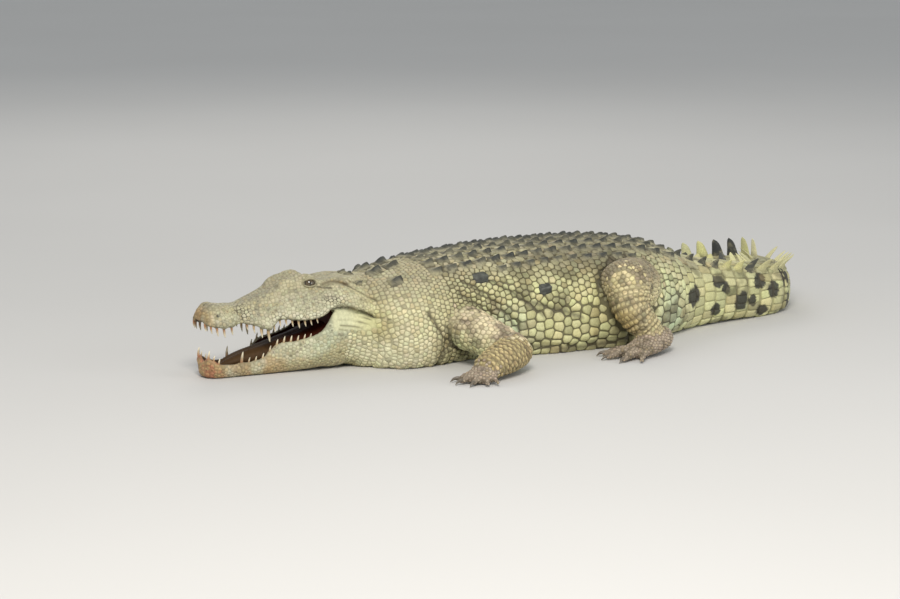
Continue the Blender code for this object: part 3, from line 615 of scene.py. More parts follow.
# dark blotches on the tail's left side, and a little further back on its right:
# s, height, half length, half height
TAIL_BLOTCHES = [
    (1.008, 0.102, 0.019, 0.025), (1.115, 0.046, 0.013, 0.016), (1.128, 0.124, 0.014, 0.013),
    (1.158, 0.104, 0.012, 0.016), (1.222, 0.062, 0.017, 0.021), (1.268, 0.052, 0.010, 0.014),
    (1.296, 0.106, 0.013, 0.017), (1.308, 0.022, 0.014, 0.014), (1.342, 0.078, 0.013, 0.019),
    (1.402, 0.100, 0.010, 0.024), (1.412, 0.032, 0.010, 0.022), (1.462, 0.070, 0.015, 0.018),
    (1.520, 0.100, 0.014, 0.016), (1.545, 0.040, 0.015, 0.016), (1.610, 0.072, 0.016, 0.018),
    (1.665, 0.030, 0.013, 0.014), (1.690, 0.085, 0.014, 0.014), (1.760, 0.050, 0.015, 0.016),
    (1.835, 0.070, 0.014, 0.013), (1.900, 0.034, 0.014, 0.013), (1.975, 0.056, 0.013, 0.012),
    (2.060, 0.036, 0.013, 0.011), (2.150, 0.044, 0.012, 0.009), (2.260, 0.026, 0.012, 0.008),
]


def body_colour(s, down, left, points):
    """Colour of the neck, trunk and tail at places on the left side or the right one."""
    rough = mottle(points, 0.06, 3)
    back = (1 - ease(0.20, 0.42, down)) * (0.45 + 0.55 * (1 - ease(0.95, 1.25, s)))
    patches = spots(points, 0.045, 11, 0.58, 0.70) * (0.45 + 0.55 * ease(0.15, 0.3, s))
    colour = washed(
        YELLOW_GREEN,
        (CREAM, 0.75 * (1 - ease(0.10, 0.30, s))),                                 # the neck,
        (BONE, 0.8 * (1 - ease(0.08, 0.20, s)) * ease(0.42, 0.62, down)),          # and its sides
        (BACK_TAN, back * 0.85),
        (BELLY, ease(0.66, 0.86, down) * 0.9),
        (LEG_BROWN * 0.7, 0.45 * hill(s, 0.235, 0.07) * hill(down, 0.45, 0.25)),   # behind the shoulder
        (PALE_GREEN, 0.9 * hill(s, 0.36, 0.07) * hill(down, 0.60, 0.13)),          # the front of the flank
        (PALE_GREEN, 0.85 * hill(s, 0.905, 0.055) * hill(down, 0.64, 0.24)),       # behind the thigh
        (BACK_BROWN, 0.60 * hill(s, 0.66, 0.15) * (1 - ease(0.28, 0.40, down))),
        (OLIVE, 0.60 * patches),
        # painted shade in the folds of the skin
        (GROOVE_SHADE, 0.70 * body_folds(s, down)),
        (LEG_BROWN, 0.5 * spots(points, 0.09, 17, 0.56, 0.72) * (1 - ease(0.8, 1.0, s))),
        (OLIVE, 0.42 * (1 - ease(0.10, 0.32, down)) * ease(1.15, 1.4, s)),         # the top of the tail
    )
    ragged = mottle(points, 0.020, 13)
    for n, (at, height, long, tall) in enumerate(TAIL_BLOTCHES):
        shift = np.where(left, 0.0, 0.021 * math.sin(7 * n))
        far = np.hypot((s - at - shift) / (1.5 * long), (points[:, 2] - height) / (1.2 * tall))
        far += (ragged - 0.5) * 0.9
        colour = mix(colour, DARK, 0.95 * (1 - ease(0.90, 1.08, far)) * ease(0.12, 0.2, down))
    return colour * (0.86 + 0.28 * rough[:, None])


def head_colour(x, down, points):
    """Colour of the skull and upper jaw."""
    rough = mottle(points, 0.035, 21)
    colour = washed(
        CREAM,
        (GREY_BONE, 0.55 * (1 - ease(0.10, 0.30, down))),
        (BONE, 0.7 * ease(0.30, 0.45, down)),
        (GREY_BONE * 0.75, 0.55 * spots(points, 0.028, 27, 0.60, 0.72)),
        (OLIVE, 0.22 * spots(points, 0.05, 31, 0.55, 0.75)),
        (ORANGE, 0.75 * (1 - ease(0.004, 0.035, x)) * ease(0.3, 0.6, rough + 0.15)),    # the snout's tip
        (GREY_BONE * 0.5, 0.5 * spots(points, 0.010, 29, 0.62, 0.74)),
    )
    return colour * (0.52 + 0.30 * rough[:, None])


def jaw_colour(x, down, points):
    """Colour of the outside of the lower jaw."""
    rough = mottle(points, 0.03, 41)
    front = 1 - ease(0.030, 0.075, x)
    colour = washed(
        BONE,
        (PALE_GREEN, 0.4 * ease(0.2, 0.34, x)),
        (JAW_SAND, 0.6 * ease(0.56, 0.68, down) * ease(0.10, 0.16, x)),
        (ORANGE, 0.65 * hill(x, 0.150, 0.075) * ease(0.34, 0.70, rough)),
        (ORANGE, 0.8 * (1 - ease(0.035, 0.085, x))),
        (RUST, 0.9 * front * spots(points, 0.014, 43, 0.40, 0.60)),
        (GREY_BONE * 0.6, 0.3 * spots(points, 0.012, 47, 0.60, 0.72)),
        (JAW_BROWN, 0.45 * hill(x, 0.085, 0.050) * ease(0.30, 0.66, rough)),
    )
    return colour * (0.62 + 0.26 * rough[:, None])


def limb_colour(name, along, down, points):
    """Colour of one part of a leg."""
    rough = mottle(points, 0.035, 51)
    x, _, z = points.T
    low = 1 - ease(0.10, 0.14, z)
    if name == "upper_arm":
        colour = washed(ARM_BONE, (BELLY, ease(0.25, 0.75, down)),
                        (ARM_BROWN, 0.7 * spots(points, 0.040, 55, 0.56, 0.70)))
    elif name == "forearm":
        # painted shade in the furrows between the forearm's bands
        colour = washed(FOREARM_SAND, (LEG_FURROW_SHADE, 0.75 * (1 - bands(along, points, FOREARM_BAND))))
    elif name == "thigh":
        colour = 1.12 * washed(
            THIGH_CREAM,
            (THIGH_BROWN, 0.90 * ease(0.115, 0.205, z)),
            (THIGH_OLIVE, 0.6 * spots(points, 0.04, 59, 0.56, 0.72) * ease(0.10, 0.16, z)),
            (LEG_GOLD, 0.8 * (ease(0.0, 0.05, 0.125 - x) * low)),
        )
    elif name == "shank":
        furrows = (1 - bands(along, points, SHANK_BAND)) * ease(0.05, 0.11, along)
        colour = washed(
            SHANK_SAND,
            (LEG_GOLD, 0.85 * (ease(0.0, 0.04, 0.105 - x) * low)),
            (LEG_BROWN, 0.3 * rough + 0.3 * ease(0.06, 0.14, along)),
            # painted shade in the furrows between the shank's bands
            (LEG_FURROW_SHADE, 0.55 * furrows),
        )
    else:
        colour = FOOT_GREY
    colour = mix(colour, LEG_OLIVE, 0.55 * spots(points, 0.024, 61, 0.57, 0.70))
    return colour * (0.84 + 0.32 * rough[:, None])


def hide_colour(parts, known, points):
    """The hide's colour at points whose places on the parts are known."""
    colour = np.zeros((len(points), 3))
    for n, part in enumerate(parts):
        mine = np.flatnonzero(known.number == n)
        if not len(mine):
            continue
        along, down, at, left = known.along[mine], known.down[mine], points[mine], known.way[mine] < 0.5
        if part.name == "body":
            colour[mine] = body_colour(along, down, left, at)
        elif part.name == "head":
            onward = body_colour(along - HEAD_LENGTH, down, left, at)
            colour[mine] = mix(head_colour(along, down, at), onward, ease(0.33, 0.47, along))
        elif part.name == "jaw":
            colour[mine] = jaw_colour(along, down, at)
        else:
            colour[mine] = limb_colour(part.name, along, down, at)
    in_head = head_frame(points)
    on = np.flatnonzero(in_head[:, 0] < MARKS_REACH)
    colour[on] = head_marks(colour[on], in_head[on])
    return colour


def from_nostril(x, across):
    """How far points on top of the snout are from the nearer nostril, which is a slit."""
    return np.hypot((x - 0.030) / 1.5, across - 0.015 - 0.25 * (x - 0.030))


def head_marks(colour, points):
    """Draws painted shade in the furrows, the nostrils and the pit for a lower tooth, and the pale soft skin
    of the head, for points in the head's own frame.
    """
    x, across, z = points[:, 0], np.abs(points[:, 1]), points[:, 2]
    over_lip = z - through(UPPER_HEAD, x)[:, 1]
    along_lip = hill(over_lip, 0.013, 0.010) * ease(0.12, 0.20, x) * (1 - ease(0.33, 0.36, x))
    jowl = hill(x, 0.435, 0.035) * hill(z, 0.125, 0.045) * ease(0.06, 0.09, across)
    marks = furrow_marks(points)
    pit = np.hypot(x - SNOUT_PIT[0], z - SNOUT_PIT[2]) + 9 * (across < 0.040)      # only on the side,
    nostril = from_nostril(x, across) + 9 * (z < 0.165)                            # and only on the top
    lips = ease(0.005, 0.0, np.abs(over_lip - 0.003)) * (z > 0.11)
    return washed(
        colour,
        (CHEEK, 0.85 * bare_cheek(points)),
        (LIP_CREAM, 0.55 * along_lip),
        (JOWL_YELLOW, 0.60 * jowl),
        # painted shade in the furrows of the head
        *((tint, share * marks[name]) for name, (_, _, _, tint, share) in HEAD_FURROWS.items()),
        # painted shade in the pit for the first lower tooth and in the nostrils
        (DARK, 0.95 * (1 - ease(0.0022, 0.0042, pit))),
        (DARK, 0.9 * (1 - ease(0.0020, 0.0042, nostril))),
        (OLIVE, 0.55 * lips * spots(points, 0.012, 63, 0.35, 0.6)),
    )


# ------------------------------------------------------------------ meshes
def link(name, mesh):
    """A new object of the mesh, in the scene."""
    made = bpy.data.objects.new(name, mesh)
    bpy.context.scene.collection.objects.link(made)
    return made


def read(items, name, width, kind=np.float32):
    """One value or vector of every vertex, edge, face or corner of a mesh, a row for each."""
    values = np.empty(len(items) * width, kind)
    items.foreach_get(name, values)
    return values.reshape(-1, width)


def points_of(mesh):
    return read(mesh.vertices, "co", 3).astype(float)


def move_points(mesh, points):
    mesh.vertices.foreach_set("co", points.astype(np.float32).ravel())
    mesh.update()


def mesh_object(name, points, faces, *materials):
    """A smooth mesh object from points and arrays of faces, each array with its own number of corners."""
    mesh = bpy.data.meshes.new(name)
    faces = [np.asarray(f, np.int32) for f in faces if len(f)]
    counts = np.concatenate([np.full(len(f), f.shape[1], np.int32) for f in faces])
    corners = np.concatenate([f.ravel() for f in faces]).astype(np.int32)
    mesh.vertices.add(len(points))
    mesh.vertices.foreach_set("co", np.asarray(points, np.float32).ravel())
    mesh.loops.add(len(corners))
    mesh.loops.foreach_set("vertex_index", corners)
    mesh.polygons.add(len(counts))
    starts = np.concatenate([[0], np.cumsum(counts)[:-1]]).astype(np.int32)
    mesh.polygons.foreach_set("loop_start", starts)
    mesh.update(calc_edges=True)
    mesh.shade_smooth()
    for material in materials:
        mesh.materials.append(material)
    return link(name, mesh)


def stacked(bodies):
    """Points, quads and ends of many round-ended bodies, all with rings of the same number of points."""
    points, quads, caps, count = [], [], [], 0
    for rings in bodies:
        n, sides = np.asarray(rings).shape[:2]
        round_it, ends = loft_faces(n, sides, count)
        quads.append(round_it)
        caps += ends
        points += rings
        count += n * sides
    return np.concatenate(points), np.concatenate(quads), np.array(caps)


def closed_object(name, bodies, material):
    """A mesh object of round-ended bodies, each a list of rings, with all its faces looking out."""
    points, *faces = stacked(bodies)
    piece = mesh_object(name, points, faces, material)
    work = bmesh.new()
    work.from_mesh(piece.data)
    bmesh.ops.recalc_face_normals(work, faces=work.faces)
    work.to_mesh(piece.data)
    work.free()
    return piece


def paint(piece, colours):
    """Stores a colour for each point, which the materials read as hide."""
    layer = piece.data.color_attributes.new("hide", "FLOAT_COLOR", "POINT")
    rgba = np.concatenate([colours, np.ones((len(colours), 1))], axis=1)
    layer.data.foreach_set("color", np.clip(rgba, 0, 1).astype(np.float32).ravel())


def lay_uv(piece, uv):
    """UV map OFBake from one place for each point."""
    corner = read(piece.data.loops, "vertex_index", 1, np.int32)[:, 0]
    layer = piece.data.uv_layers.new(name="OFBake")
    layer.data.foreach_set("uv", uv[corner].astype(np.float32).ravel())


def finish_piece(piece, slot_name, *nodes):
    """The piece moves with the one body, and stands for the nodes named."""
    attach(piece, "root")
    if nodes:
        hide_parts(*nodes)


# ------------------------------------------------------------------ the skin
def grown_skin(places):
    """One closed skin round all the parts, evenly meshed."""
    mesh = bpy.data.meshes.new("skin")
    mesh.from_pydata(places.points.tolist(), [], places.faces)
    rough = link("skin", mesh)
    remesh = rough.modifiers.new("remesh", "REMESH")
    remesh.mode = "VOXEL"
    remesh.voxel_size = VOXEL
    bpy.context.view_layer.update()
    evaluated = rough.evaluated_get(bpy.context.evaluated_depsgraph_get())
    made = bpy.data.meshes.new_from_object(evaluated)
    bpy.data.objects.remove(rough)
    return made


def relaxed(mesh, rounds, chosen=None):
    """Evens out the mesh by moving each chosen point part of the way to the middle of its neighbours."""
    a, b = read(mesh.edges, "vertices", 2, np.int32).T
    points = points_of(mesh)
    count = len(points)
    degree = np.maximum(np.bincount(a, minlength=count) + np.bincount(b, minlength=count), 1)
    share = 0.5 if chosen is None else 0.5 * chosen[:, None]
    for _ in range(rounds):
        middle = np.stack([
            (np.bincount(a, points[b, k], count) + np.bincount(b, points[a, k], count)) / degree
            for k in range(3)], axis=1)
        points += (middle - points) * share
    move_points(mesh, points)


def refined(mesh, chosen):
    """Splits the faces between chosen points into four."""
    work = bmesh.new()
    work.from_mesh(mesh)
    edges = [e for e in work.edges if chosen[e.verts[0].index] and chosen[e.verts[1].index]]
    bmesh.ops.subdivide_edges(work, edges=edges, cuts=1, use_grid_fill=True)
    work.to_mesh(mesh)
    work.free()
    mesh.update()


def head_frame(points):
    """Distance behind the snout's tip, distance to the left, and height of points, in columns."""
    x, y, _ = (float(v[0]) for v in backbone(np.array([-HEAD_LENGTH])))
    off_x, off_y = (points[:, :2] - (x, y)).T
    heading = math.radians(HEADING[0][1] + 0.25)
    along = off_x * math.cos(heading) + off_y * math.sin(heading)
    left = off_x * math.sin(heading) - off_y * math.cos(heading)
    return np.stack([along, left, points[:, 2]], axis=1)


# folds and furrows of the head, the same on both sides: points (x, across, z), width and depth, and the
# tint of the painted shade in them and how much of it there is
HEAD_FURROWS = {
    "smile": ([(0.334, 0.099, 0.158), (0.350, 0.102, 0.163), (0.372, 0.106, 0.161), (0.398, 0.111, 0.154),
               (0.424, 0.116, 0.143), (0.452, 0.118, 0.131)], 0.0042, 0.0075, SMILE_SHADE, 1.0),
    "ear": ([(0.330, 0.064, 0.2215), (0.346, 0.061, 0.2255), (0.362, 0.062, 0.2262), (0.378, 0.067, 0.2225),
             (0.390, 0.071, 0.2170)], 0.0046, 0.0085, EAR_SLIT_SHADE, 1.0),
    "table": ([(0.384, 0.071, 0.218), (0.405, 0.085, 0.204), (0.430, 0.098, 0.190), (0.456, 0.108, 0.174)],
              0.0030, 0.0032, TABLE_EDGE_SHADE, 0.75),
    "temple": ([(0.396, 0.090, 0.1960), (0.416, 0.102, 0.1850), (0.436, 0.108, 0.1650)],
               0.0026, 0.0020, OLIVE, 0.6),
    "eye_corner": ([(0.310, 0.066, 0.2165), (0.322, 0.068, 0.2150), (0.344, 0.073, 0.2120)],
                   0.0024, 0.0030, EYE_CORNER_SHADE, 1.0),
    "cheek_1": ([(0.352, 0.103, 0.147), (0.380, 0.109, 0.146), (0.410, 0.114, 0.138), (0.438, 0.118, 0.127)],
                0.0023, 0.0020, OLIVE, 0.9),
    "cheek_2": ([(0.350, 0.103, 0.133), (0.378, 0.108, 0.131), (0.408, 0.113, 0.124), (0.434, 0.116, 0.114)],
                0.0023, 0.0018, OLIVE, 0.85),
    "cheek_3": ([(0.356, 0.102, 0.118), (0.384, 0.107, 0.115), (0.412, 0.112, 0.108)],
                0.0023, 0.0015, OLIVE, 0.8),
    "notch": ([(0.094, 0.036, 0.180), (0.100, 0.044, 0.166), (0.105, 0.049, 0.148)],
              0.0030, 0.0022, OLIVE, 0.65),
    "notch_2": ([(0.106, 0.040, 0.182), (0.114, 0.050, 0.170), (0.116, 0.053, 0.156)],
                0.0024, 0.0014, OLIVE, 0.5),
    "jowl": ([(0.352, 0.100, 0.108), (0.384, 0.106, 0.103), (0.412, 0.112, 0.096)],
             0.0024, 0.0014, OLIVE, 0.6),
    "brow": ([(0.262, 0.056, 0.226), (0.277, 0.055, 0.236), (0.294, 0.055, 0.241), (0.310, 0.057, 0.237)],
             0.0032, 0.0016, OLIVE, 0.0),
    "below_eye": ([(0.272, 0.072, 0.207), (0.290, 0.075, 0.203), (0.310, 0.076, 0.204),
                   (0.328, 0.075, 0.209)], 0.0034, 0.0018, OLIVE, 0.0),
}
# x, and the height of the fold behind the corner of the mouth
SMILE_HEIGHT = [(0.330, 0.158), (0.350, 0.163), (0.372, 0.161), (0.398, 0.154), (0.424, 0.143),
                (0.452, 0.131)]
# swellings of the head, the same on both sides: x, across, z, radius along, across and up, height
HEAD_SWELLINGS = [
    (0.030, 0.020, 0.180, 0.016, 0.016, 0.012, 0.0040),   # round the nostrils
    (0.052, 0.056, 0.146, 0.016, 0.020, 0.020, 0.0030),   # over the fourth upper tooth
    (0.171, 0.067, 0.136, 0.022, 0.020, 0.026, 0.0040),   # over the largest upper tooth
    (0.104, 0.047, 0.028, 0.016, 0.020, 0.016, 0.0025),   # under the largest lower tooth
    (0.402, 0.116, 0.104, 0.046, 0.040, 0.040, 0.0080),   # the jaw's muscle
    (0.390, 0.066, 0.232, 0.024, 0.014, 0.010, 0.0050),   # rear corner of the skull table
    (0.352, 0.062, 0.236, 0.034, 0.012, 0.007, 0.0035),   # edge of the skull table, over the ear
    (0.284, 0.046, 0.247, 0.026, 0.014, 0.012, 0.0040),   # rim over the eye
    (0.360, 0.094, 0.196, 0.036, 0.030, 0.014, 0.0040),   # temple, over the corner of the mouth
    (0.235, 0.050, 0.222, 0.040, 0.012, 0.012, 0.0025),   # ridge in front of the eye
    (0.328, 0.034, 0.236, 0.022, 0.040, 0.012, -0.0065),  # dip between the eyes and the skull table
]


def near_path(points, path):
    """Distance of each point from a line of points."""
    best = np.full(len(points), 9.0)
    for a, b in zip(path[:-1], path[1:]):
        along = b - a
        t = np.clip(((points - a) @ along) / (along @ along), 0, 1)
        best = np.minimum(best, np.linalg.norm(points - a - t[:, None] * along, axis=1))
    return best


def furrow_marks(points):
    """For points of the head in its own frame: how deep each furrow runs there, from 0 to 1."""
    flattened = (1, 0.5, 1)      # distances across the head count half, as the paths are rough that way
    folded = np.abs(points) * flattened
    return {name: hill(near_path(folded, smooth_path(path, 6) * flattened), 0, width)
            for name, (path, width, *_) in HEAD_FURROWS.items()}


NOSTRIL_RIM, NOSTRIL_DEPTH = 0.0022, 0.0075
SNOUT_PIT, PIT_DEPTH = (0.036, 0.054, 0.163), 0.0045     # the pit for the first lower tooth, and its depth


def head_relief(points):
    """How far the skin of the head stands out from the plain form, for points in the head's own frame."""
    x, across, z = points[:, 0], np.abs(points[:, 1]), points[:, 2]
    out = np.zeros(len(points))
    for cx, cy, cz, rx, ry, rz, height in HEAD_SWELLINGS:
        out += height * np.exp(-((x - cx) / rx) ** 2 - ((across - cy) / ry) ** 2 - ((z - cz) / rz) ** 2)
    marks = furrow_marks(points)
    for name, (_, _, depth, _, _) in HEAD_FURROWS.items():
        out -= depth * marks[name]
    nostril = from_nostril(x, across)
    on_top = ease(0.168, 0.176, z)
    out += on_top * (NOSTRIL_RIM * hill(nostril, 0.0075, 0.003) - NOSTRIL_DEPTH * hill(nostril, 0, 0.0042))
    pit = np.linalg.norm(np.stack([x, across, z], axis=1) - SNOUT_PIT, axis=1)
    return out - PIT_DEPTH * hill(pit, 0, 0.0036)


# the swelling over a tooth's root: height over the lip, height over the tooth's own, and radius
SOCKET_LIFT, SOCKET_SWELLING, SOCKET_RADIUS = 0.008, 0.16, 0.0062


def socket_relief(points):
    """The swellings of the jaws over the roots of the teeth, for points in the head's own frame."""
    x, across, z = points[:, 0], np.abs(points[:, 1]), points[:, 2]
    out = np.zeros(len(points))
    upper = ease(0.10, 0.11, z)
    for teeth, jaw, columns, up, mine in ((UPPER_TEETH, UPPER_HEAD, (0, 1), 1, upper),
                                          (LOWER_TEETH, LOWER_JAW, (0, 2), -1, 1 - upper)):
        for at, height in teeth:
            half, lip_z = (through(jaw, at)[0][k] for k in columns)
            far = np.hypot(x - at, (z - lip_z - up * SOCKET_LIFT) / 1.6)
            side = ease(0.6 * half, 0.85 * half, across)
            out += side * mine * SOCKET_SWELLING * height * hill(far, 0, SOCKET_RADIUS)
    return out


def wrinkled(points):
    """Where the head is cracked by wrinkles, which are painted darker as shade, for points in its own frame.
    """
    x, z = points[:, 0], points[:, 2]
    notch = hill(x, 0.110, 0.024) * hill(z, 0.163, 0.021)
    temple = hill(x, 0.338, 0.032) * hill(z, 0.184, 0.014)
    lip = ease(0.14, 0.20, x) * (1 - ease(0.32, 0.35, x)) * hill(z, 0.150, 0.010)
    patches = ease(0.22, 0.48, mottle(points, 0.022, 67))
    return np.clip(1.1 * notch + temple + 0.6 * lip, 0, 1) * patches


def bare_cheek(points):
    """Where the soft skin behind the mouth's corner has no scales, for points in the head's own frame."""
    x, z = points[:, 0], points[:, 2]
    over_fold = z - through(SMILE_HEIGHT, x)[:, 0]
    return (ease(0.332, 0.342, x) * (1 - ease(0.436, 0.458, x)) * ease(0.097, 0.109, z)
            * (1 - ease(-0.004, 0.003, over_fold)))


def eye_centre(side):
    return on_head([EYE_X], [side * EYE_ACROSS], [EYE_Z])[0]


def from_eyes(points):
    """How far each point is from the middle of the nearer eye."""
    return np.minimum(*(np.linalg.norm(points - eye_centre(side), axis=1) for side in (1, -1)))


def eye_axes(side):
    """Directions the eye faces, along its opening, and up across it."""
    ahead, left, above = EYE_FACING
    facing = np.array([ahead, -side * left, above])
    facing /= np.linalg.norm(facing)
    along = np.array([1.0, 0.0, -0.04])
    along -= facing * (along @ facing)
    along /= np.linalg.norm(along)
    up = np.cross(facing, along)
    return facing, along, up if up[2] > 0 else -up


def lidded(points):
    """Draws the skin over the eyeballs as lids, with an almond opening between them."""
    length, height = EYE_OPEN
    for side in (1, -1):
        centre = eye_centre(side)
        facing, along, up = eye_axes(side)
        off = points - centre
        far = np.linalg.norm(off, axis=1)
        near = np.flatnonzero((far < 2 * EYE_RADIUS) & (off @ facing > -0.004))
        far = far[near]
        ray = off[near] / np.maximum(far, 1e-6)[:, None]
        p, q = (ray @ along) * EYE_RADIUS, (ray @ up) * EYE_RADIUS - SLIT_LIFT
        # how far each point is outside the almond, negative within it
        rim = height * np.sqrt(np.clip(1 - (p / length) ** 2, 0.0, 1))
        beyond = np.where(np.abs(p) < length, np.abs(q) - rim, np.hypot(np.abs(p) - length, q))
        beyond = np.where(ray @ facing > 0, beyond, 0.02)
        # a fold along the lid's edge with a furrow behind it, and a heavier upper lid
        fold = 0.0016 * hill(beyond, 0.0022, 0.0016) - 0.0010 * hill(beyond, 0.0056, 0.0012)
        lid = EYE_RADIUS + LID + fold + 0.0012 * ease(0, 0.008, q) * hill(beyond, 0.003, 0.004)
        inner = EYE_RADIUS * 0.72      # inside the opening the skin lies behind the eyeball's surface
        target = np.where(beyond < 0, inner, lid)
        target = inner + (target - inner) * ease(-0.0010, 0.0004, beyond)
        target = np.maximum(target, np.where(beyond < 0.003, 0, far))
        weight = np.where(beyond < 0.006, 1.0, 1 - ease(0.013, 0.020, beyond))
        points[near] = centre + ray * (far * (1 - weight) + target * weight)[:, None]
    return points


def lid_edge(points, side):
    """How near each point of the skin is to the edge of the opening between the lids."""
    facing, along, up = eye_axes(side)
    off = points - eye_centre(side)
    length, height = EYE_OPEN
    outside = np.hypot((off @ along) / length, (off @ up - SLIT_LIFT) / height)
    near = np.linalg.norm(off, axis=1) < 0.026
    return (1 - ease(1.08, 1.30, outside)) * near * (off @ facing > 0)


def bands(along, points, pitch):
    """Uneven bands round a leg, from 0 in the furrows to 1."""
    return (0.5 + 0.5 * wave(along, pitch, 4 * mottle(points, 0.05, 57))) ** 0.6


# height of the bands and folds round the legs
FOREARM_RELIEF, SHANK_RELIEF, ARM_RELIEF, PALM_RELIEF, TOE_RELIEF = 0.0040, 0.0034, 0.0016, 0.0012, 0.0010


def limb_relief(name, along, points):
    """Bands and folds of loose skin round a leg."""
    if name == "forearm":
        return FOREARM_RELIEF * (bands(along, points, FOREARM_BAND) - 0.6)
    if name == "shank":
        return SHANK_RELIEF * (bands(along, points, SHANK_BAND) - 0.6) * ease(0.04, 0.09, along)
    warp = 3.5 * mottle(points, 0.06, 71)
    if name == "upper_arm":
        return ARM_RELIEF * wave(along, 0.034, 1.6 * warp) * ease(0.12, 0.2, along)
    if name.endswith("palm"):
        return PALM_RELIEF * wave(along, 0.016, warp)
    return TOE_RELIEF * (mottle(points, 0.03, 73) - 0.5)


# folds of the skin on both sides of the body: from (s, down) to (s, down), width and depth
BODY_FOLDS = [
    ((0.135, 0.42), (0.190, 0.62), 0.0050, 0.0050), ((0.175, 0.60), (0.150, 0.84), 0.0060, 0.0060),
    ((0.255, 0.30), (0.400, 0.56), 0.0050, 0.0040), ((0.300, 0.27), (0.470, 0.50), 0.0045, 0.0035),
    ((0.235, 0.36), (0.330, 0.52), 0.0045, 0.0035), ((0.360, 0.62), (0.560, 0.66), 0.0050, 0.0045),
    ((0.560, 0.66), (0.760, 0.64), 0.0050, 0.0045), ((0.440, 0.44), (0.600, 0.52), 0.0045, 0.0030),
    ((0.780, 0.30), (0.745, 0.56), 0.0060, 0.0050), ((0.745, 0.56), (0.770, 0.76), 0.0060, 0.0050),
]


def body_folds(s, down):
    """How deep in a fold of skin each place of the body lies, from 0 to 1."""
    flat = np.stack([s, down * HALF_GIRTH], axis=1)
    folds = np.zeros(len(s))
    for start, end, width, _ in BODY_FOLDS:
        path = np.array([start, end]) * (1, HALF_GIRTH)
        folds = np.maximum(folds, hill(near_path(flat, path), 0, width))
    return folds


NECK_FOLD, NECK_RELIEF = 0.040, 0.0030       # waves of the neck's skin: length and height
RIB, RIB_RELIEF = 0.090, 0.0022              # the same of the flank's
WHORL_WIDTH, WHORL_DEPTH = 0.0045, 0.0042    # furrows between the whorls of the tail
FLESH_RELIEF = 0.004


def body_relief(s, down, points):
    """Folds of the neck and flank, whorls of the tail, and the unevenness of flesh over ribs."""
    warp = 5 * mottle(points, 0.09, 81)
    neck = hill(s, 0.04, 0.07) * ease(0.35, 0.6, down)
    flank = ease(0.25, 0.4, s) * (1 - ease(0.8, 0.9, s)) * hill(down, 0.52, 0.16)
    out = NECK_RELIEF * wave(s, NECK_FOLD, warp) * neck + RIB_RELIEF * wave(s, RIB, warp) * flank
    flat = np.stack([s, (down + 0.03 * mottle(points, 0.12, 83)) * HALF_GIRTH], axis=1)
    for start, end, width, depth in BODY_FOLDS:
        away = near_path(flat, np.array([start, end]) * (1, HALF_GIRTH))
        out += depth * (0.5 * hill(away, 2.6 * width, 1.6 * width) - hill(away, 0, width))
    rows = np.array(tail_rows())
    furrows = (rows[1:] + rows[:-1]) / 2
    nearest = np.abs(s[:, None] - furrows[None]).min(axis=1)
    out -= WHORL_DEPTH * hill(nearest, 0, WHORL_WIDTH) * ease(0.98, 1.1, s) * (1 - ease(2.3, 2.5, s))
    return out + FLESH_RELIEF * (mottle(points, 0.10, 85) - 0.5)


def make_skin(places, *materials):
    """The skin with its folds and lids, where each of its points lies, and how creased it is there."""
    mesh = grown_skin(places)
    relaxed(mesh, 4)
    refined(mesh, head_frame(points_of(mesh))[:, 0] < HEAD_REACH)
    relaxed(mesh, 2, ease(0.0, 0.01, HEAD_REACH + 0.005 - head_frame(points_of(mesh))[:, 0]))
    for _ in range(2):
        refined(mesh, from_eyes(points_of(mesh)) < EYE_REACH)
        relaxed(mesh, 1, 1 - ease(EYE_REACH - 0.008, EYE_REACH, from_eyes(points_of(mesh))))
    points = points_of(mesh)
    known = places.locate(points)
    out = np.zeros(len(points))
    in_head = head_frame(points)
    for n, name in enumerate(places.names):
        mine = np.flatnonzero(known.number == n)
        along, at = known.along[mine], points[mine]
        if name == "body":
            out[mine] = body_relief(along, known.down[mine], at)
        elif name in ("head", "jaw"):
            out[mine] = socket_relief(in_head[mine]) + 0.0012 * (mottle(at, 0.02, 91) - 0.5)
        else:
            out[mine] = limb_relief(name, along, at)
    on = np.flatnonzero(in_head[:, 0] < RELIEF_REACH)
    out[on] += head_relief(in_head[on])
    creased = places.creases(points)
    out -= CREASE_DEPTH * creased
    points += read(mesh.vertex_normals, "vector", 3).astype(float) * out[:, None]
    points = lidded(points)
    points[:, 2] = np.maximum(points[:, 2], FLOOR_GAP)
    move_points(mesh, points)
    mesh.shade_smooth()
    for material in materials:
        mesh.materials.append(material)
    return link("skin", mesh), known, creased


def in_mouth(names, known, in_head):
    """Whether each point lies inside the mouth."""
    along, down = known.along, known.down
    palate = (names == "head") & (down > 0.70) & (along < 0.345)
    trough = (names == "jaw") & (down < 0.38) & (along < 0.352) & (along > 0.024)
    throat = (names == "body") & (along < -0.078)
    x, across, z = in_head.T
    hollow = (x > 0.30) & (x < 0.350) & (np.abs(across) < 0.080) & (z > 0.08) & (z < 0.165)
    return palate | trough | throat | hollow


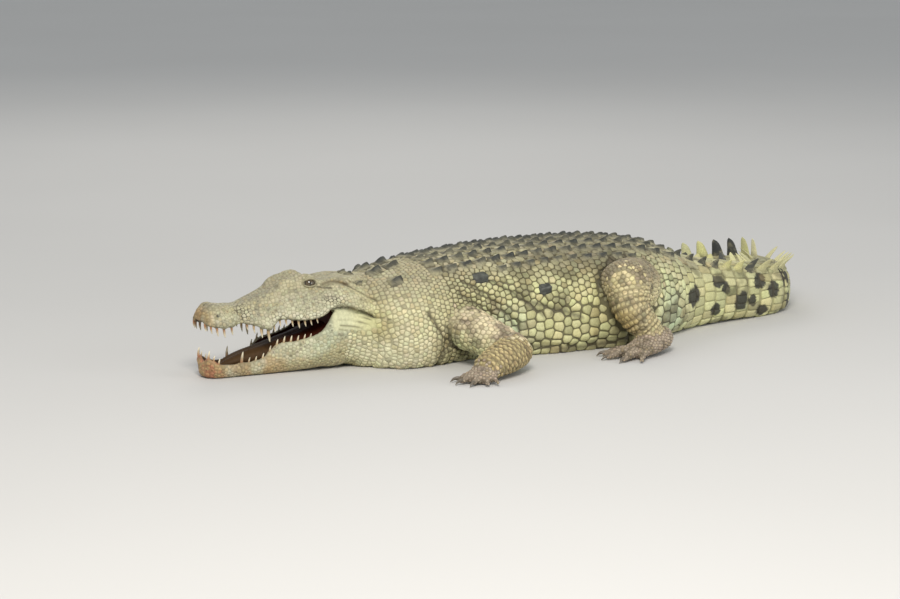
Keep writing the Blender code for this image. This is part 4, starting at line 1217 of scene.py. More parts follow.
def paint_skin(skin, places, known, creased):
    """Colours the skin: the hide's markings, with painted shade in the grooves that show between scales, in
    the creases by the legs, round the lids' opening and inside the mouth.
    """
    points = points_of(skin.data)
    names = places.names[known.number]
    in_head = head_frame(points)
    on_body = names == "body"
    # how much painted shade lies in the grooves that show between scales: on the head more where it is
    # wrinkled, most on the trunk, less on the neck and the tail
    grooved = np.where(np.isin(names, ("head", "jaw")), 0.30 + 0.65 * wrinkled(in_head), 0.46)
    grooved[on_body] = 0.80
    grooved -= (0.34 + 0.20 * ease(0.45, 0.70, known.down)) * on_body * (1 - ease(0.06, 0.26, known.along))
    grooved -= 0.36 * on_body * ease(0.98, 1.08, known.along)
    colour = washed(
        hide_colour(places.parts, known, points),
        (GROOVE_SHADE, grooved * (1 - bare_cheek(in_head))),
        # painted shade in the creases where the legs meet the body
        (GROOVE_SHADE * 0.5, 0.9 * creased),
        # painted shade round the opening between the lids
        (LID_DARK, lid_edge(points, 1)),
        (LID_DARK, lid_edge(points, -1)),
    )
    # the mouth's lining is painted dark brown as the shade inside the mouth, lighter towards its open front
    mouth = in_mouth(names, known, in_head)
    front = 1 - ease(0.07, 0.22, in_head[:, 0])
    lining = mix(MOUTH_SHADE, MOUTH_GREY, 0.75 * front + 0.2 * mottle(points, 0.02, 95))
    colour[mouth] = lining[mouth]
    paint(skin, colour)
    first = read(skin.data.polygons, "loop_start", 1, np.int32)[:, 0]
    corner = read(skin.data.loops, "vertex_index", 1, np.int32)[:, 0]
    skin.data.polygons.foreach_set("material_index", mouth[corner[first]].astype(np.int32))


# ------------------------------------------------------------------ scales
# height of a scale, gap between scales, share of the top that is flat, corners, rings of points, how dark
# the painted shade at the rim is, and how much the colour changes from one scale to the next
Kind = namedtuple("Kind", "height gap flat corners rings rim uneven")
KINDS = {
    "plate": Kind(0.0006, 0.0006, 0.82, 10, 3, 0.26, 0.09),
    "granule": Kind(0.0014, 0.0009, 0.62, 12, 3, 0.62, 0.12),
    "flank": Kind(0.0032, 0.0015, 0.66, 18, 4, 1.0, 0.16),
    "whorl": Kind(0.0026, 0.0012, 0.66, 28, 5, 0.46, 0.16),
    "limb": Kind(0.0015, 0.0010, 0.64, 12, 3, 0.38, 0.16),
    "foot": Kind(0.0016, 0.0011, 0.55, 10, 3, 0.70, 0.16),
}
BURIED = 0.0095          # a scale's place this far from the skin lies inside another part
LOWEST = 0.004           # no scale's middle lies lower
AHEAD = 0.004            # how far along the next place is that gives a scale its direction
CROWDED = 0.62           # scales nearer than this share of their size are thinned out
NEIGHBOURS = 14          # how many neighbours bound a scale
SOFTNESS = 14            # how sharply a scale's outline turns from one neighbour to the next
LONGEST = 0.76           # how far a scale reaches without neighbours, over its place's length and width
PATCH = 0.003            # how much of the unwrapped skin one scale takes
Settled = namedtuple("Settled", "number along share step width kind at normal ahead across")


def tree_of_points(points):
    tree = KDTree(len(points))
    for n, p in enumerate(points):
        tree.insert(p, n)
    tree.balance()
    return tree


class Scales:
    """Places for scales, gathered part by part, and where they lie on the skin."""

    def __init__(self, places, skin):
        self.places = places
        self.parts = places.parts
        faces = [list(p.vertices) for p in skin.data.polygons]
        self.tree = BVHTree.FromPolygons(points_of(skin.data).tolist(), faces)
        self.rows = []

    def snap(self, points):
        """The nearest places on the skin, its directions there, and how far they are."""
        made = np.empty((len(points), 7))
        for n, p in enumerate(points.tolist()):
            at, normal, _, far = self.tree.find_nearest(p)
            made[n] = (*at, *normal, far)
        return made[:, :3], made[:, 3:6], made[:, 6]

    def lay(self, number, kind, rows, size, columns, jitter, seed):
        """Lays rows of scale places on a part.  size gives a row's length and a scale's width there, or is
        that pair; columns is the first and last share of the half girth that the rows cover."""
        random = np.random.default_rng(seed)
        first, last = columns
        for n, at in enumerate(rows):
            step, width = size(at) if callable(size) else size
            half = float(self.parts[number].girth_at(at)) / 2
            count = max(1, int(round((last - first) * half / width)))
            offset = 0.5 if kind == "whorl" else (0.25, 0.75)[n % 2]
            for side in (1, -1):
                shares = first + (last - first) * (np.arange(count) + offset) / count
                shares = shares + random.uniform(-jitter, jitter, count) * width / half
                along = at + random.uniform(-jitter, jitter, count) * step
                for share, place_at in zip(shares, along):
                    self.rows.append((number, place_at, side * share / 2, step, width, kind))

    def settle(self):
        """Puts the places on the skin, drops the buried and crowded ones, and finds each one's directions."""
        number, along, share, step, width, kind = (np.array(column) for column in zip(*self.rows))
        points, ahead = np.zeros((len(along), 3)), np.zeros((len(along), 3))
        for n in np.unique(number):
            mine = number == n
            points[mine] = self.parts[n].point(along[mine], share[mine] % 1.0)
            ahead[mine] = self.parts[n].point(along[mine] + AHEAD, share[mine] % 1.0) - points[mine]
        at, normal, far = self.snap(points)
        keep = (far < BURIED) & (at[:, 2] > LOWEST) & (bare_cheek(head_frame(at)) < 0.5)
        keep &= ~self.under_shields(number, along, share)
        chosen = np.flatnonzero(keep)
        chosen = chosen[~crowded(at[chosen], np.sqrt(step * width)[chosen])]
        at, normal, ahead = at[chosen], normal[chosen], ahead[chosen]
        ahead = ahead - normal * (ahead * normal).sum(1)[:, None]
        ahead /= np.linalg.norm(ahead, axis=1)[:, None]
        columns = (column[chosen] for column in (number, along, share, step, width, kind))
        self.settled = Settled(*columns, at, normal, ahead, np.cross(normal, ahead))
        self.near = tree_of_points(at)

    def under_shields(self, number, along, share):
        """Which places lie under the keeled plates of the back."""
        under = np.zeros(len(along), bool)
        arc = share * self.parts[0].girth_at(along)
        for shield in back_shields():
            under |= np.hypot((along - shield.s) / shield.length, (arc - shield.arc) / shield.width) < 0.92
        return under & (number == 0)

    def outlines(self, chosen, corners):
        """How far each scale reaches in each direction before it meets its neighbours."""
        s = self.settled
        near = np.array([[m for _, m, _ in self.near.find_n(p, NEIGHBOURS + 1)][1:] for p in s.at[chosen]])
        away = s.at[near] - s.at[chosen][:, None]
        x = (away * s.ahead[chosen][:, None]).sum(2)
        y = (away * s.across[chosen][:, None]).sum(2)
        turn = np.arange(corners) / corners * 2 * math.pi
        ray = np.stack([np.cos(turn), np.sin(turn)])
        toward = x[:, :, None] * ray[0] + y[:, :, None] * ray[1]
        half_gap = (x**2 + y**2)[:, :, None] / 2
        meet = np.where(toward > 1e-6, half_gap / np.maximum(toward, 1e-6), 9.0)
        longest, widest = LONGEST * s.step[chosen][:, None], LONGEST * s.width[chosen][:, None]
        limit = ((ray[0] / longest) ** 4 + (ray[1] / widest) ** 4) ** -0.25
        inverse = (np.minimum(meet, 1.0) ** -float(SOFTNESS)).sum(1) + limit ** -float(SOFTNESS)
        return turn, inverse ** (-1 / SOFTNESS)


def crowded(at, size):
    """Which of the places lie too near to one that comes before them."""
    tree = tree_of_points(at)
    gone = np.zeros(len(at), bool)
    for n, p in enumerate(at):
        if gone[n]:
            continue
        for _, m, far in tree.find_range(p, size[n] * CROWDED):
            if m > n and far < CROWDED * 0.5 * (size[n] + size[m]):
                gone[m] = True
    return gone


def atlas_of(parts):
    """Where each part's unwrapped surface lies on a unit square: left, bottom, and units to a metre."""
    scale, edge, gap = 1 / 3.0, 0.01, 0.006
    placed, x, y, shelf = [], edge, edge, 0.0
    for part in parts:
        wide, tall = (part.along[-1] - part.along[0]) * scale, part.girth.max() * scale
        if x + wide > 1 - edge:
            x, y, shelf = edge, y + shelf + gap, 0.0
        placed.append((x, y, scale))
        x += wide + gap
        shelf = max(shelf, tall)
    return placed


def dome_levels(kind):
    """The rings of a low dome from its sunk edge inwards: share of the outline, share of the height."""
    if kind.rings == 3:
        return (1.0, -0.45), (0.90, 0.50), (kind.flat, 0.95)
    outer = ((1.0, -0.40), (0.94, 0.38), (0.5 + kind.flat / 2, 0.80))
    return outer + (((kind.flat * 0.55, 1.0),) if kind.rings == 4 else ((0.60, 0.94), (0.32, 1.0)))


def make_scales(name, chosen, scales, kind_name, material, atlas, seed):
    """One piece of many scales of a kind: each a low dome with its edge sunk in the skin."""
    s, kind = scales.settled, KINDS[kind_name]
    turn, reach = scales.outlines(chosen, kind.corners)
    count, corners = reach.shape
    random = np.random.default_rng(seed)
    reach = np.maximum(reach - kind.gap / 2, reach * 0.55)
    fullness = np.clip(reach.mean(1) / (0.40 * s.step[chosen]), 0.6, 1.1)
    tall = kind.height * random.uniform(0.8, 1.2, count) * fullness
    at, normal = s.at[chosen], s.normal[chosen]
    ahead, across = s.ahead[chosen][:, None], s.across[chosen][:, None]
    levels = dome_levels(kind)
    flat, rise, patch = [], [], []
    for share, lift in levels:
        x, y = reach * share * np.cos(turn), reach * share * np.sin(turn)
        flat.append(at[:, None] + x[..., None] * ahead + y[..., None] * across)
        rise.append(np.repeat((tall * lift)[:, None], corners, axis=1))
        patch.append(np.stack([x, y], axis=-1) / s.step[chosen][:, None, None])
    flat = np.concatenate([*flat, at[:, None]], axis=1)
    rise = np.concatenate([*rise, tall[:, None] * 1.04], axis=1)
    patch = np.concatenate([*patch, np.zeros((count, 1, 2))], axis=1)
    per = flat.shape[1]
    on_skin, local, _ = scales.snap(flat.reshape(-1, 3))
    local = local.reshape(count, per, 3) * 0.5 + normal[:, None]
    local /= np.linalg.norm(local, axis=2)[..., None]
    points = on_skin.reshape(count, per, 3) + local * rise[..., None]
    points[..., 2] = np.maximum(points[..., 2], FLOOR_GAP)
    piece = mesh_object(name, points.reshape(-1, 3), dome_faces(count, corners, len(levels), per), material)
    colour = scale_colours(scales, chosen, points, random, patch, kind_name)
    paint(piece, colour.reshape(-1, 3))
    lay_uv(piece, (scale_roots(scales, chosen, atlas) + patch * PATCH).reshape(-1, 2))
    finish_piece(piece, "skin")


def dome_faces(count, corners, rings, per):
    """Quads between the rings of each dome and a fan round its middle."""
    k = np.arange(corners)
    after = (k + 1) % corners
    quads, _ = loft_faces(rings, corners)
    last = (rings - 1) * corners
    fans = np.stack([last + k, last + after, np.full(corners, per - 1)], axis=1)
    start = (np.arange(count) * per)[:, None, None]
    return (start + quads[None]).reshape(-1, 4), (start + fans[None]).reshape(-1, 3)


def scale_roots(scales, chosen, atlas):
    """Where the middle of each scale lies on the unwrapped skin."""
    s = scales.settled
    number = s.number[chosen]
    left, bottom, scale = np.array(atlas)[number].T
    start = np.array([part.along[0] for part in scales.parts])[number]
    girth = np.array([part.girth.max() for part in scales.parts])[number]
    u = left + (s.along[chosen] - start) * scale
    v = bottom + (s.share[chosen] % 1.0) * girth * scale
    return np.stack([u, v], axis=1)[:, None]


def scale_colours(scales, chosen, points, random, patch, kind_name):
    """The hide's colour at every point of the scales, varied from one to the next, with painted shade at the
    rim and in the creases by the legs.
    """
    s, kind = scales.settled, KINDS[kind_name]
    count, per = points.shape[:2]
    number = s.number[chosen]
    girth = np.array([float(scales.parts[n].girth_at(at)) for n, at in zip(number, s.along[chosen])])
    step = s.step[chosen][:, None]
    along = (s.along[chosen][:, None] + patch[..., 0] * step).ravel()
    way = ((s.share[chosen][:, None] - patch[..., 1] * step / girth[:, None]) % 1.0).ravel()
    known = Whereabouts(np.repeat(number, per), along, 2 * np.minimum(way, 1 - way), way)
    base = hide_colour(scales.parts, known, points.reshape(-1, 3)).reshape(count, per, 3)
    base = base * random.uniform(1 - kind.uneven, 1 + kind.uneven, (count, 1, 1))
    base = base * random.uniform(0.97, 1.03, (count, 1, 3))
    warm = 0.28 * (random.random(count) < 0.14)
    dull = 0.45 * (random.random(count) < (0.10 if kind_name == "flank" else 0.04))
    # painted shade on the scales that lie in the creases where the legs meet the body
    creased = 0.8 * scales.places.creases(s.at[chosen])
    base = washed(base, *((tint, share[:, None]) for tint, share in
                          ((WARM, warm), (OLIVE, dull), (GROOVE_SHADE, creased))))
    # painted shade at each scale's rim, where it dips into the groove, stronger in the head's wrinkles
    strength = np.full((count, 1), kind.rim)
    if kind_name == "plate":
        strength[:, 0] += 0.7 * wrinkled(head_frame(s.at[chosen]))
        base[:, -1] = mix(base[:, -1], LID_DARK, 0.7 * (random.random(count) < 0.16))    # a pit in some
    edge = np.zeros((count, per, 1))
    edge[:, :kind.corners, 0] = strength
    edge[:, kind.corners : 2 * kind.corners, 0] = 0.22 * strength
    rim = base * 0.30 + OLIVE * 0.10
    return base * (1 - edge) + rim * edge


def tail_rows():
    """The places along the tail where its whorls of scales and its crests stand."""
    rows, s = [], CRESTS_FROM
    while s < CRESTS_TO:
        rows.append(s)
        s += CREST_PITCH * through(CREST, s)[0, 1]
    return rows


def rows_from(start, end, size):
    """Rows of scales one after another, each as long as size says there."""
    rows = [start]
    while rows[-1] < end:
        rows.append(rows[-1] + size(rows[-1])[0])
    return rows[:-1]


HEAD_ROW = (0.0088, 0.0092)     # length of a row of the head's plates, and width of a plate
# scales of the neck and trunk: kind, from, to, size at s, columns, unevenness
BODY_COATS = (
    ("granule", -0.070, 0.205, lambda s: (0.0114, 0.0118), (0.0, 0.50), 0.24),
    ("granule", -0.070, 0.205, lambda s: (0.0120, 0.0100 + 0.003 * ease(0.08, 0.2, s)), (0.50, 0.97), 0.20),
    ("flank", 0.208, 0.95, lambda s: (0.0128 + 0.0058 * ease(0.22, 0.48, s),
                                      0.0128 + 0.0052 * ease(0.22, 0.48, s)), (0.0, 0.46), 0.18),
    ("flank", 0.208, 0.95, lambda s: (0.0150 + 0.0150 * ease(0.27, 0.50, s),
                                      0.0140 + 0.0120 * ease(0.27, 0.50, s)), (0.46, 0.82), 0.16),
)
# plates of head and jaw: those on the blunt front end (rows, columns), then those round it (rows, size,
# columns, unevenness)
HEAD_COATS = {
    "head": ((-0.018, -0.012, -0.005), (0.0, 0.95), np.arange(0.006, 0.462, HEAD_ROW[0]),
             lambda x: (HEAD_ROW[0], HEAD_ROW[1] - 0.0016 * hill(x, 0.29, 0.04)), (0.0, 0.64), 0.26),
    "jaw": ((-0.009, -0.003, 0.003, 0.009), (0.10, 1.0), np.arange(0.016, 0.398, HEAD_ROW[0]),
            HEAD_ROW, (0.44, 0.98), 0.22),
}
# scales of the legs: kind, first row, how far before the end the rows stop, size, columns, unevenness
LIMB_COATS = {
    "upper_arm": ("limb", 0.020, 0.0, (0.0130, 0.0132), (0.0, 1.0), 0.14),
    "forearm": ("limb", 0.004, 0.0, (0.0088, 0.0175), (0.0, 1.0), 0.07),
    "thigh": ("limb", 0.020, 0.0, (0.0116, 0.0112), (0.0, 1.0), 0.16),
    "shank": ("limb", 0.004, 0.0, (0.0112, 0.0140), (0.0, 1.0), 0.12),
    "palm": ("foot", 0.004, 0.0, (0.0092, 0.0092), (0.0, 0.8), 0.10),
    "toe": ("foot", 0.006, 0.002, (0.0078, 0.0115), (0.0, 0.78), 0.05),
}


RUMP_ROWS = (0.954, 0.977)      # the rows of slabs between the flank's scales and the tail's first whorl
LAST_WHORL = 0.034              # length of the tail's last whorl


def lay_all(scales, parts):
    """Scale places over the whole animal, from tiny ones on the toes to slabs on the tail."""
    for n, (kind, start, end, size, columns, jitter) in enumerate(BODY_COATS):
        scales.lay(0, kind, rows_from(start, end, size), size, columns, jitter, 11 + n)
    rows = tail_rows()
    steps = dict(zip(rows, np.diff(rows + [rows[-1] + LAST_WHORL])))
    scales.lay(0, "whorl", RUMP_ROWS, (0.026, 0.026), (0.0, 0.9), 0.04, 15)
    scales.lay(0, "whorl", rows, lambda s: (steps[s], 0.016 + 0.085 * through(BODY, s)[0, 0]),
               (0.0, 1.0), 0.03, 16)
    for number, part in enumerate(parts[1:], 1):
        seed = 20 + number
        if part.name in HEAD_COATS:
            front, front_columns, rows, size, columns, jitter = HEAD_COATS[part.name]
            scales.lay(number, "plate", front, HEAD_ROW, front_columns, 0.10, seed + 50)
            scales.lay(number, "plate", rows, size, columns, jitter, seed)
        else:
            name = part.name if part.name in LIMB_COATS else part.name.split("_")[1]
            kind, start, short, size, columns, jitter = LIMB_COATS[name]
            rows = np.arange(start, part.along[-1] - short, size[0])
            scales.lay(number, kind, rows, size, columns, jitter, seed)


# ------------------------------------------------------------------ shields of the back and neck
# s, distance round from the middle, half length, half width, height of the keel, how dark, and whether it
# stands alone on the flank
Shield = namedtuple("Shield", "s arc length width keel dark lone")
SINGLE_SHIELDS = (
    Shield(0.066, 0.028, 0.0240, 0.0250, 0.010, 0.5, False),
    Shield(0.116, 0.030, 0.0250, 0.0260, 0.011, 0.5, False),
    Shield(0.088, 0.104, 0.0220, 0.0200, 0.010, 0.5, False),
    Shield(-0.004, 0.020, 0.0120, 0.0130, 0.006, 0.3, False),
    Shield(-0.008, 0.052, 0.0115, 0.0120, 0.006, 0.3, False),
    Shield(0.312, 0.160, 0.0270, 0.0210, 0.011, 2.0, True),
    Shield(0.487, 0.235, 0.0240, 0.0185, 0.010, 2.0, True),
)
SHIELD_ROWS, SHIELDS_FROM, SHIELD_PITCH = 17, 0.202, 0.0462
SHIELD_SIZE = (0.0222, 0.0206)      # half length and half width of those in the rows
# distance round from the middle, half width that the body needs for it, keel, size, darkness, rows left out
SHIELD_COLUMNS = (
    (0.0215, 0.056, 0.0085, 1.0, 0.35, ()),
    (0.0645, 0.106, 0.0095, 1.0, 0.55, ()),
    (0.1070, 0.156, 0.0105, 1.0, 0.55, ()),
    (0.1470, 0.202, 0.0080, 0.80, 0.55, (0, 1, 2, 14, 15, 16)),
)


def back_shields():
    """Every keeled plate: the single ones of neck and flank, then the rows of the back."""
    made = [shield._replace(arc=side * shield.arc) for side in (1, -1) for shield in SINGLE_SHIELDS]
    for row in range(SHIELD_ROWS):
        s = SHIELDS_FROM + SHIELD_PITCH * row
        half = through(BODY, s)[0, 0]
        for side in (1, -1):
            for arc, needed, keel, size, dark, left_out in SHIELD_COLUMNS:
                if half >= needed and row not in left_out:
                    length, width = SHIELD_SIZE
                    made.append(Shield(s, side * arc, length * size, width * size, keel, dark, False))
    return made


SHIELD_DOME, SHIELD_SUNK, SHIELD_PITS = 0.0052, 0.0022, 0.0026      # height, and depths of rim and pits
LONE_DOME = 1.4          # how much higher the dome of a shield that stands alone is


def shield_relief(u, v, lumps, keel, lone):
    """Height of a shield over the skin at (u, v), each from -1 to 1, and how far its keel rises there."""
    edge = np.maximum(np.abs(u), np.abs(v))
    ridge = np.exp(-np.abs((v + 0.16 * (lumps - 0.5)) / 0.21) ** 1.6)
    climb = ease(-0.95, 0.45, u) * (1 - ease(0.74, 1.0, u)) ** 0.7 * (0.82 + 0.36 * lumps)
    dome = LONE_DOME * (1 - edge**5) if lone else 1 - ease(0.62, 1.0, edge)
    rise = SHIELD_DOME * dome + keel * ridge * climb
    rise = np.where(edge > 0.98, -SHIELD_SUNK, rise)
    rise -= SHIELD_PITS * ease(0.52, 0.72, lumps) * (edge < 0.9) * (1 - 0.6 * ridge * climb)
    return rise, ridge * climb


def shield_colour(base, u, v, points, lumps, crown, shield, bright, dark):
    """Colours a shield: grey-brown and mottled with painted shade in its pits, dark on the keel, and with
    painted shade at its rim; or dark all over with a painted highlight along the keel.
    """
    fine = mottle(points, 0.006, 7)
    base = mix(base, SHIELD, 0.75) * bright
    # painted shade where the bone is pitted; the pale spots are its own colour
    base = washed(base, (SHIELD_DARK, 0.75 * ease(0.46, 0.62, lumps)),
                  (SHIELD_PALE, 0.40 * spots(points, 0.013, 9, 0.56, 0.70)))
    near_keel = np.exp(-np.abs(v / 0.40) ** 2.4) * ease(-0.85, -0.10, u) * (1 - ease(0.80, 0.98, u))
    base = mix(base, KEEL * (0.55 + 1.1 * fine[:, None]), near_keel * (0.60 + 0.7 * dark))
    if shield.lone:
        # a painted highlight along the top of the keel of a shield that stands alone
        lit = (0.8 + 1.2 * ease(0.4, 0.7, fine) + 1.6 * crown)[:, None]
        return mix(base, KEEL * lit, 0.95)
    # painted shade at the rim, where the shield sinks into the skin
    ragged = np.maximum(np.abs(u), np.abs(v)) + 0.16 * (lumps - 0.5)
    return mix(base, GROOVE_SHADE * 0.8, ease(0.80, 0.96, ragged) * 0.9)


def make_shields(body, scales, material, atlas, seed):
    """Keeled plates of bone along the neck and back."""
    random = np.random.default_rng(seed)
    rows, columns = 15, 13
    u, v = (axis.ravel() for axis in np.meshgrid(np.linspace(-1, 1, rows), np.linspace(-1, 1, columns),
                                                 indexing="ij"))
    left, bottom, scale = atlas[0]
    flat, rises, colours, uvs = [], [], [], []
    for shield in back_shields():
        length, width = shield.length * random.uniform(0.96, 1.0), shield.width * random.uniform(0.95, 1.0)
        keel = shield.keel * random.uniform(0.85, 1.15)
        bright = random.uniform(0.72, 1.15)
        dark = shield.dark * random.uniform(0.55, 1.45)
        roundness, power = (0.46, 2) if shield.lone else (0.24, 4)
        along = shield.s + u * np.sqrt(1 - roundness * v**power) * length
        arc = shield.arc + v * np.sqrt(1 - roundness * u**power) * width
        share = arc / body.girth_at(along)
        points = body.point(along, share % 1.0)
        lumps = mottle(points, 0.010, 5)
        rise, crown = shield_relief(u, v, lumps, keel, shield.lone)
        base = body_colour(along, np.abs(share) * 2, np.full(len(u), shield.arc > 0), points)
        colours.append(shield_colour(base, u, v, points, lumps, crown, shield, bright, dark))
        root = (left + (shield.s - body.along[0]) * scale,
                bottom + (shield.arc / body.girth_at(shield.s)) % 1.0 * body.girth.max() * scale)
        flat.append(points)
        rises.append(rise)
        uvs.append(root + np.stack([u, v], axis=1) * PATCH / 2)
    count = len(flat)
    on_skin, normal, _ = scales.snap(np.concatenate(flat))
    normal = normal.reshape(count, -1, 3)
    normal = normal + normal.mean(axis=1, keepdims=True) * 2
    normal /= np.linalg.norm(normal, axis=2)[..., None]
    points = on_skin + normal.reshape(-1, 3) * np.concatenate(rises)[:, None]
    grid = np.arange(count * rows * columns).reshape(count, rows, columns)
    quads = np.stack([grid[:, :-1, :-1], grid[:, 1:, :-1], grid[:, 1:, 1:], grid[:, :-1, 1:]], axis=-1)
    piece = mesh_object("scutes", points, [quads.reshape(-1, 4)], material)
    paint(piece, np.concatenate(colours))
    lay_uv(piece, np.concatenate(uvs))
    finish_piece(piece, "skin")


# ------------------------------------------------------------------ crests of the tail
CREST_PALE, CREST_STRAW, CREST_DARK = rgb(206, 200, 150), rgb(196, 190, 132), rgb(72, 72, 62)
CREST_CHALK = rgb(200, 190, 150)
# up to s, the colour of the paired crests; those of the single ones come one after another, over and over
PAIRED_TINTS = ((1.17, CREST_DARK), (1.26, CREST_STRAW), (1.31, rgb(78, 78, 72)), (DOUBLE_TO, CREST_PALE))
TINT_LENGTH = 0.046      # length of the tail that takes one of them
SINGLE_TINTS = (rgb(206, 200, 158), rgb(184, 182, 126), rgb(58, 60, 56), rgb(50, 52, 50), rgb(196, 194, 132),
                rgb(200, 198, 150), rgb(112, 114, 90))


def surface_height(s, across):
    """Height of the back at s and a distance to the left."""
    half, _, high, wide, back, _ = through(BODY, s)[0]
    reach = min(0.999, abs(across) / half)
    return wide + (high - wide) * (1 - reach**back) ** (1 / back)


def crests():
    """s, distance to the left, height, length at the foot and outward lean of each crest on the tail."""
    made = []
    for s in tail_rows():
        tall, foot, share, lean = through(CREST, s)[0]
        across = share * through(BODY, s)[0, 0]
        if s < DOUBLE_TO:
            made += [(s, across, tall, foot, lean), (s, -across, tall, foot, -lean)]
        else:
            made.append((s, 0.0, tall, foot, 0.0))
    return made


CREST_THICKNESS, CREST_FOOT, CREST_RIM = 0.0070, 0.0045, 0.0011      # half thicknesses
CREST_PATCH = 0.0014     # how much of the unwrapped skin one crest takes


def crest_tint(s):
    """Colour of one crest: the low front ones dark, a few yellow, pale ones round the bend, and a mixture."""
    for end, tint in PAIRED_TINTS:
        if s < end:
            return tint
    return SINGLE_TINTS[int(round((s - DOUBLE_TO) / TINT_LENGTH)) % len(SINGLE_TINTS)]


def make_crests(material, atlas, seed):
    """The upright scales along the top of the tail, each a stack of thin rings."""
    random = np.random.default_rng(seed)
    levels, around = 12, 16
    turn = np.arange(around) / around * 2 * math.pi
    u = np.linspace(0, 1, levels)
    # the outline from the side: a slanting front, an upright rear and a rounded tip
    front = -0.54 + 0.60 * u**1.2
    rear = 0.50 + 0.02 * u - 0.04 * np.sin(u * math.pi)
    tip = np.where(u < 0.70, 1.0, np.sqrt(np.clip(1 - ((u - 0.70) / 0.30) ** 2, 0, 1)))
    middle, half_wide = (front + rear) / 2 + (1 - tip) * 0.07, (rear - front) / 2 * (0.10 + 0.90 * tip)
    level, around_it = np.repeat(u, around), np.tile(turn, levels)
    left, bottom, scale = atlas[0]
    bodies, colours, uvs = [], [], []
    for s, across, tall, foot, lean in crests():
        thick = CREST_THICKNESS - 0.0015 * max(0.0, s - DOUBLE_TO)
        tall *= random.uniform(0.93, 1.0)
        flesh = thick * (1 - u) ** 0.8 + CREST_RIM * (0.3 + 0.7 * tip) + CREST_FOOT * (1 - ease(0.0, 0.30, u))
        base = surface_height(s, across) - CREST_SUNK
        rings = []
        for k in range(levels):
            ahead = middle[k] + half_wide[k] * np.cos(turn)
            side = flesh[k] * np.sign(np.sin(turn)) * np.abs(np.sin(turn)) ** 1.4
            height = base + (CREST_SUNK + tall) * u[k]
            risen = max(0.0, height - base - CREST_SUNK)
            sideways = across + lean * risen * (0.7 + 0.3 * risen / tall) + side
            rings.append(place(s + foot * ahead, sideways, np.full(around, height)))
        here = np.concatenate(rings)
        tint = crest_tint(s) * random.uniform(0.88, 1.08)
        # painted shade: darker towards the foot, where the crest meets the tail
        shade = mix(tint, OLIVE * 0.6, 0.6 * (1 - ease(0.15, 0.45, level)))
        # painted shade on the front and rear edges of the crest
        edges = 1 - np.abs(np.sin(around_it))
        shade = mix(shade, shade * 0.55, edges * 0.5 * ease(0.3, 0.6, level))
        colours.append(mix(shade, CREST_CHALK, 0.35 * spots(here, 0.012, 15, 0.5, 0.75)))
        bodies.append(rings)
        uvs.append(np.stack([left + (s - BODY_FROM) * scale + CREST_PATCH * np.cos(around_it),
                             bottom + CREST_PATCH * (level + (np.sin(around_it) > 0))], axis=1))
    points, quads, caps = stacked(bodies)
    piece = mesh_object("crests", points, [quads, caps[1::2]], material)    # their feet stay open
    paint(piece, np.concatenate(colours))
    lay_uv(piece, np.concatenate(uvs))
    finish_piece(piece, "skin")


# ------------------------------------------------------------------ teeth, claws, eyes and tongue
TOOTH_SIDES, TOOTH_SUNK = 14, 0.007
TOOTH_HALF, TOOTH_STOUTNESS = 0.0019, 0.080     # half width at the root, and how much more for its height


def tooth_rings(root, tip, half, bend):
    """Rings of a curved, blunt tooth from its root to its tip."""
    turn = np.arange(TOOTH_SIDES) / TOOTH_SIDES * 2 * math.pi
    rings = []
    for share in (0.0, 0.12, 0.25, 0.40, 0.55, 0.70, 0.82, 0.91, 0.965, 0.99, 1.0):
        middle = root + (tip - root) * share + bend * 4 * share * (1 - share)
        blunt = math.sqrt(max(0.0, 1 - max(0.0, (share - 0.55) / 0.45) ** 2.4))
        size = max(half * (1.0 - 0.30 * share - 0.20 * share**2) * blunt, 0.0002)
        rings.append(middle + np.stack([np.cos(turn) * size, np.sin(turn) * size * 0.86, 0 * turn], axis=1))
    return rings


# teeth, sections of the jaw, columns of its half width and its lip's height, then for each tooth: its
# place across over that half width, its root over the lip, how far it leans out, and which way it points
JAWS = {
    "upper": (UPPER_TEETH, UPPER_HEAD, (0, 1), 0.88, 0.006, 0.10, -1),
    "lower": (LOWER_TEETH, LOWER_JAW, (0, 2), 0.84, -0.008, 0.16, 1),
}


def make_teeth(jaw, material, seed):
    """The teeth of both sides of the upper or the lower jaw."""
    random = np.random.default_rng(seed)
    teeth, sections, columns, inset, lift, lean, way = JAWS[jaw]
    made, colours = [], []
    for x, height in teeth:
        lip, lip_z = (through(sections, x)[0][k] for k in columns)
        across, z = inset * lip, lip_z + lift
        for side in (1, -1):
            long = height * random.uniform(0.90, 1.0)
            root = on_head([x], [side * across], [z])[0]
            tip_z = z + way * (long + TOOTH_SUNK)
            tip = on_head([x + 0.003], [side * (across + lean * long)], [tip_z])[0]
            bulge = on_head([x - 0.0015], [side * (across + 0.04 * long)], [z])[0] - root
            rings = tooth_rings(root, tip, TOOTH_HALF + TOOTH_STOUTNESS * height, bulge)
            share = np.repeat(np.linspace(0, 1, len(rings)), TOOTH_SIDES)
            shade = mix(TOOTH, TOOTH_ROOT, 1 - ease(0.25, 0.65, share))
            shade = mix(shade, TOOTH_RUST, (x < 0.13) * 0.65 * (1 - ease(0.15, 0.50, share)))
            shade = shade * random.uniform(0.86, 1.04)
            made.append(rings)
            colours.append(mix(shade, TOOTH_STAIN, 0.4 * spots(np.concatenate(rings), 0.006, 19, 0.5, 0.8)))
    piece = closed_object("teeth_" + jaw, made, material)
    paint(piece, np.concatenate(colours))
    finish_piece(piece, "skin")


# a claw from inside the toe to its tip: share of its length, height, and half thickness
CLAW = ((-0.5, 0.0085, 0.0056), (0.0, 0.0110, 0.0052), (0.45, 0.0100, 0.0038), (0.80, 0.0060, 0.0022),
        (1.0, 0.0028, 0.0009))


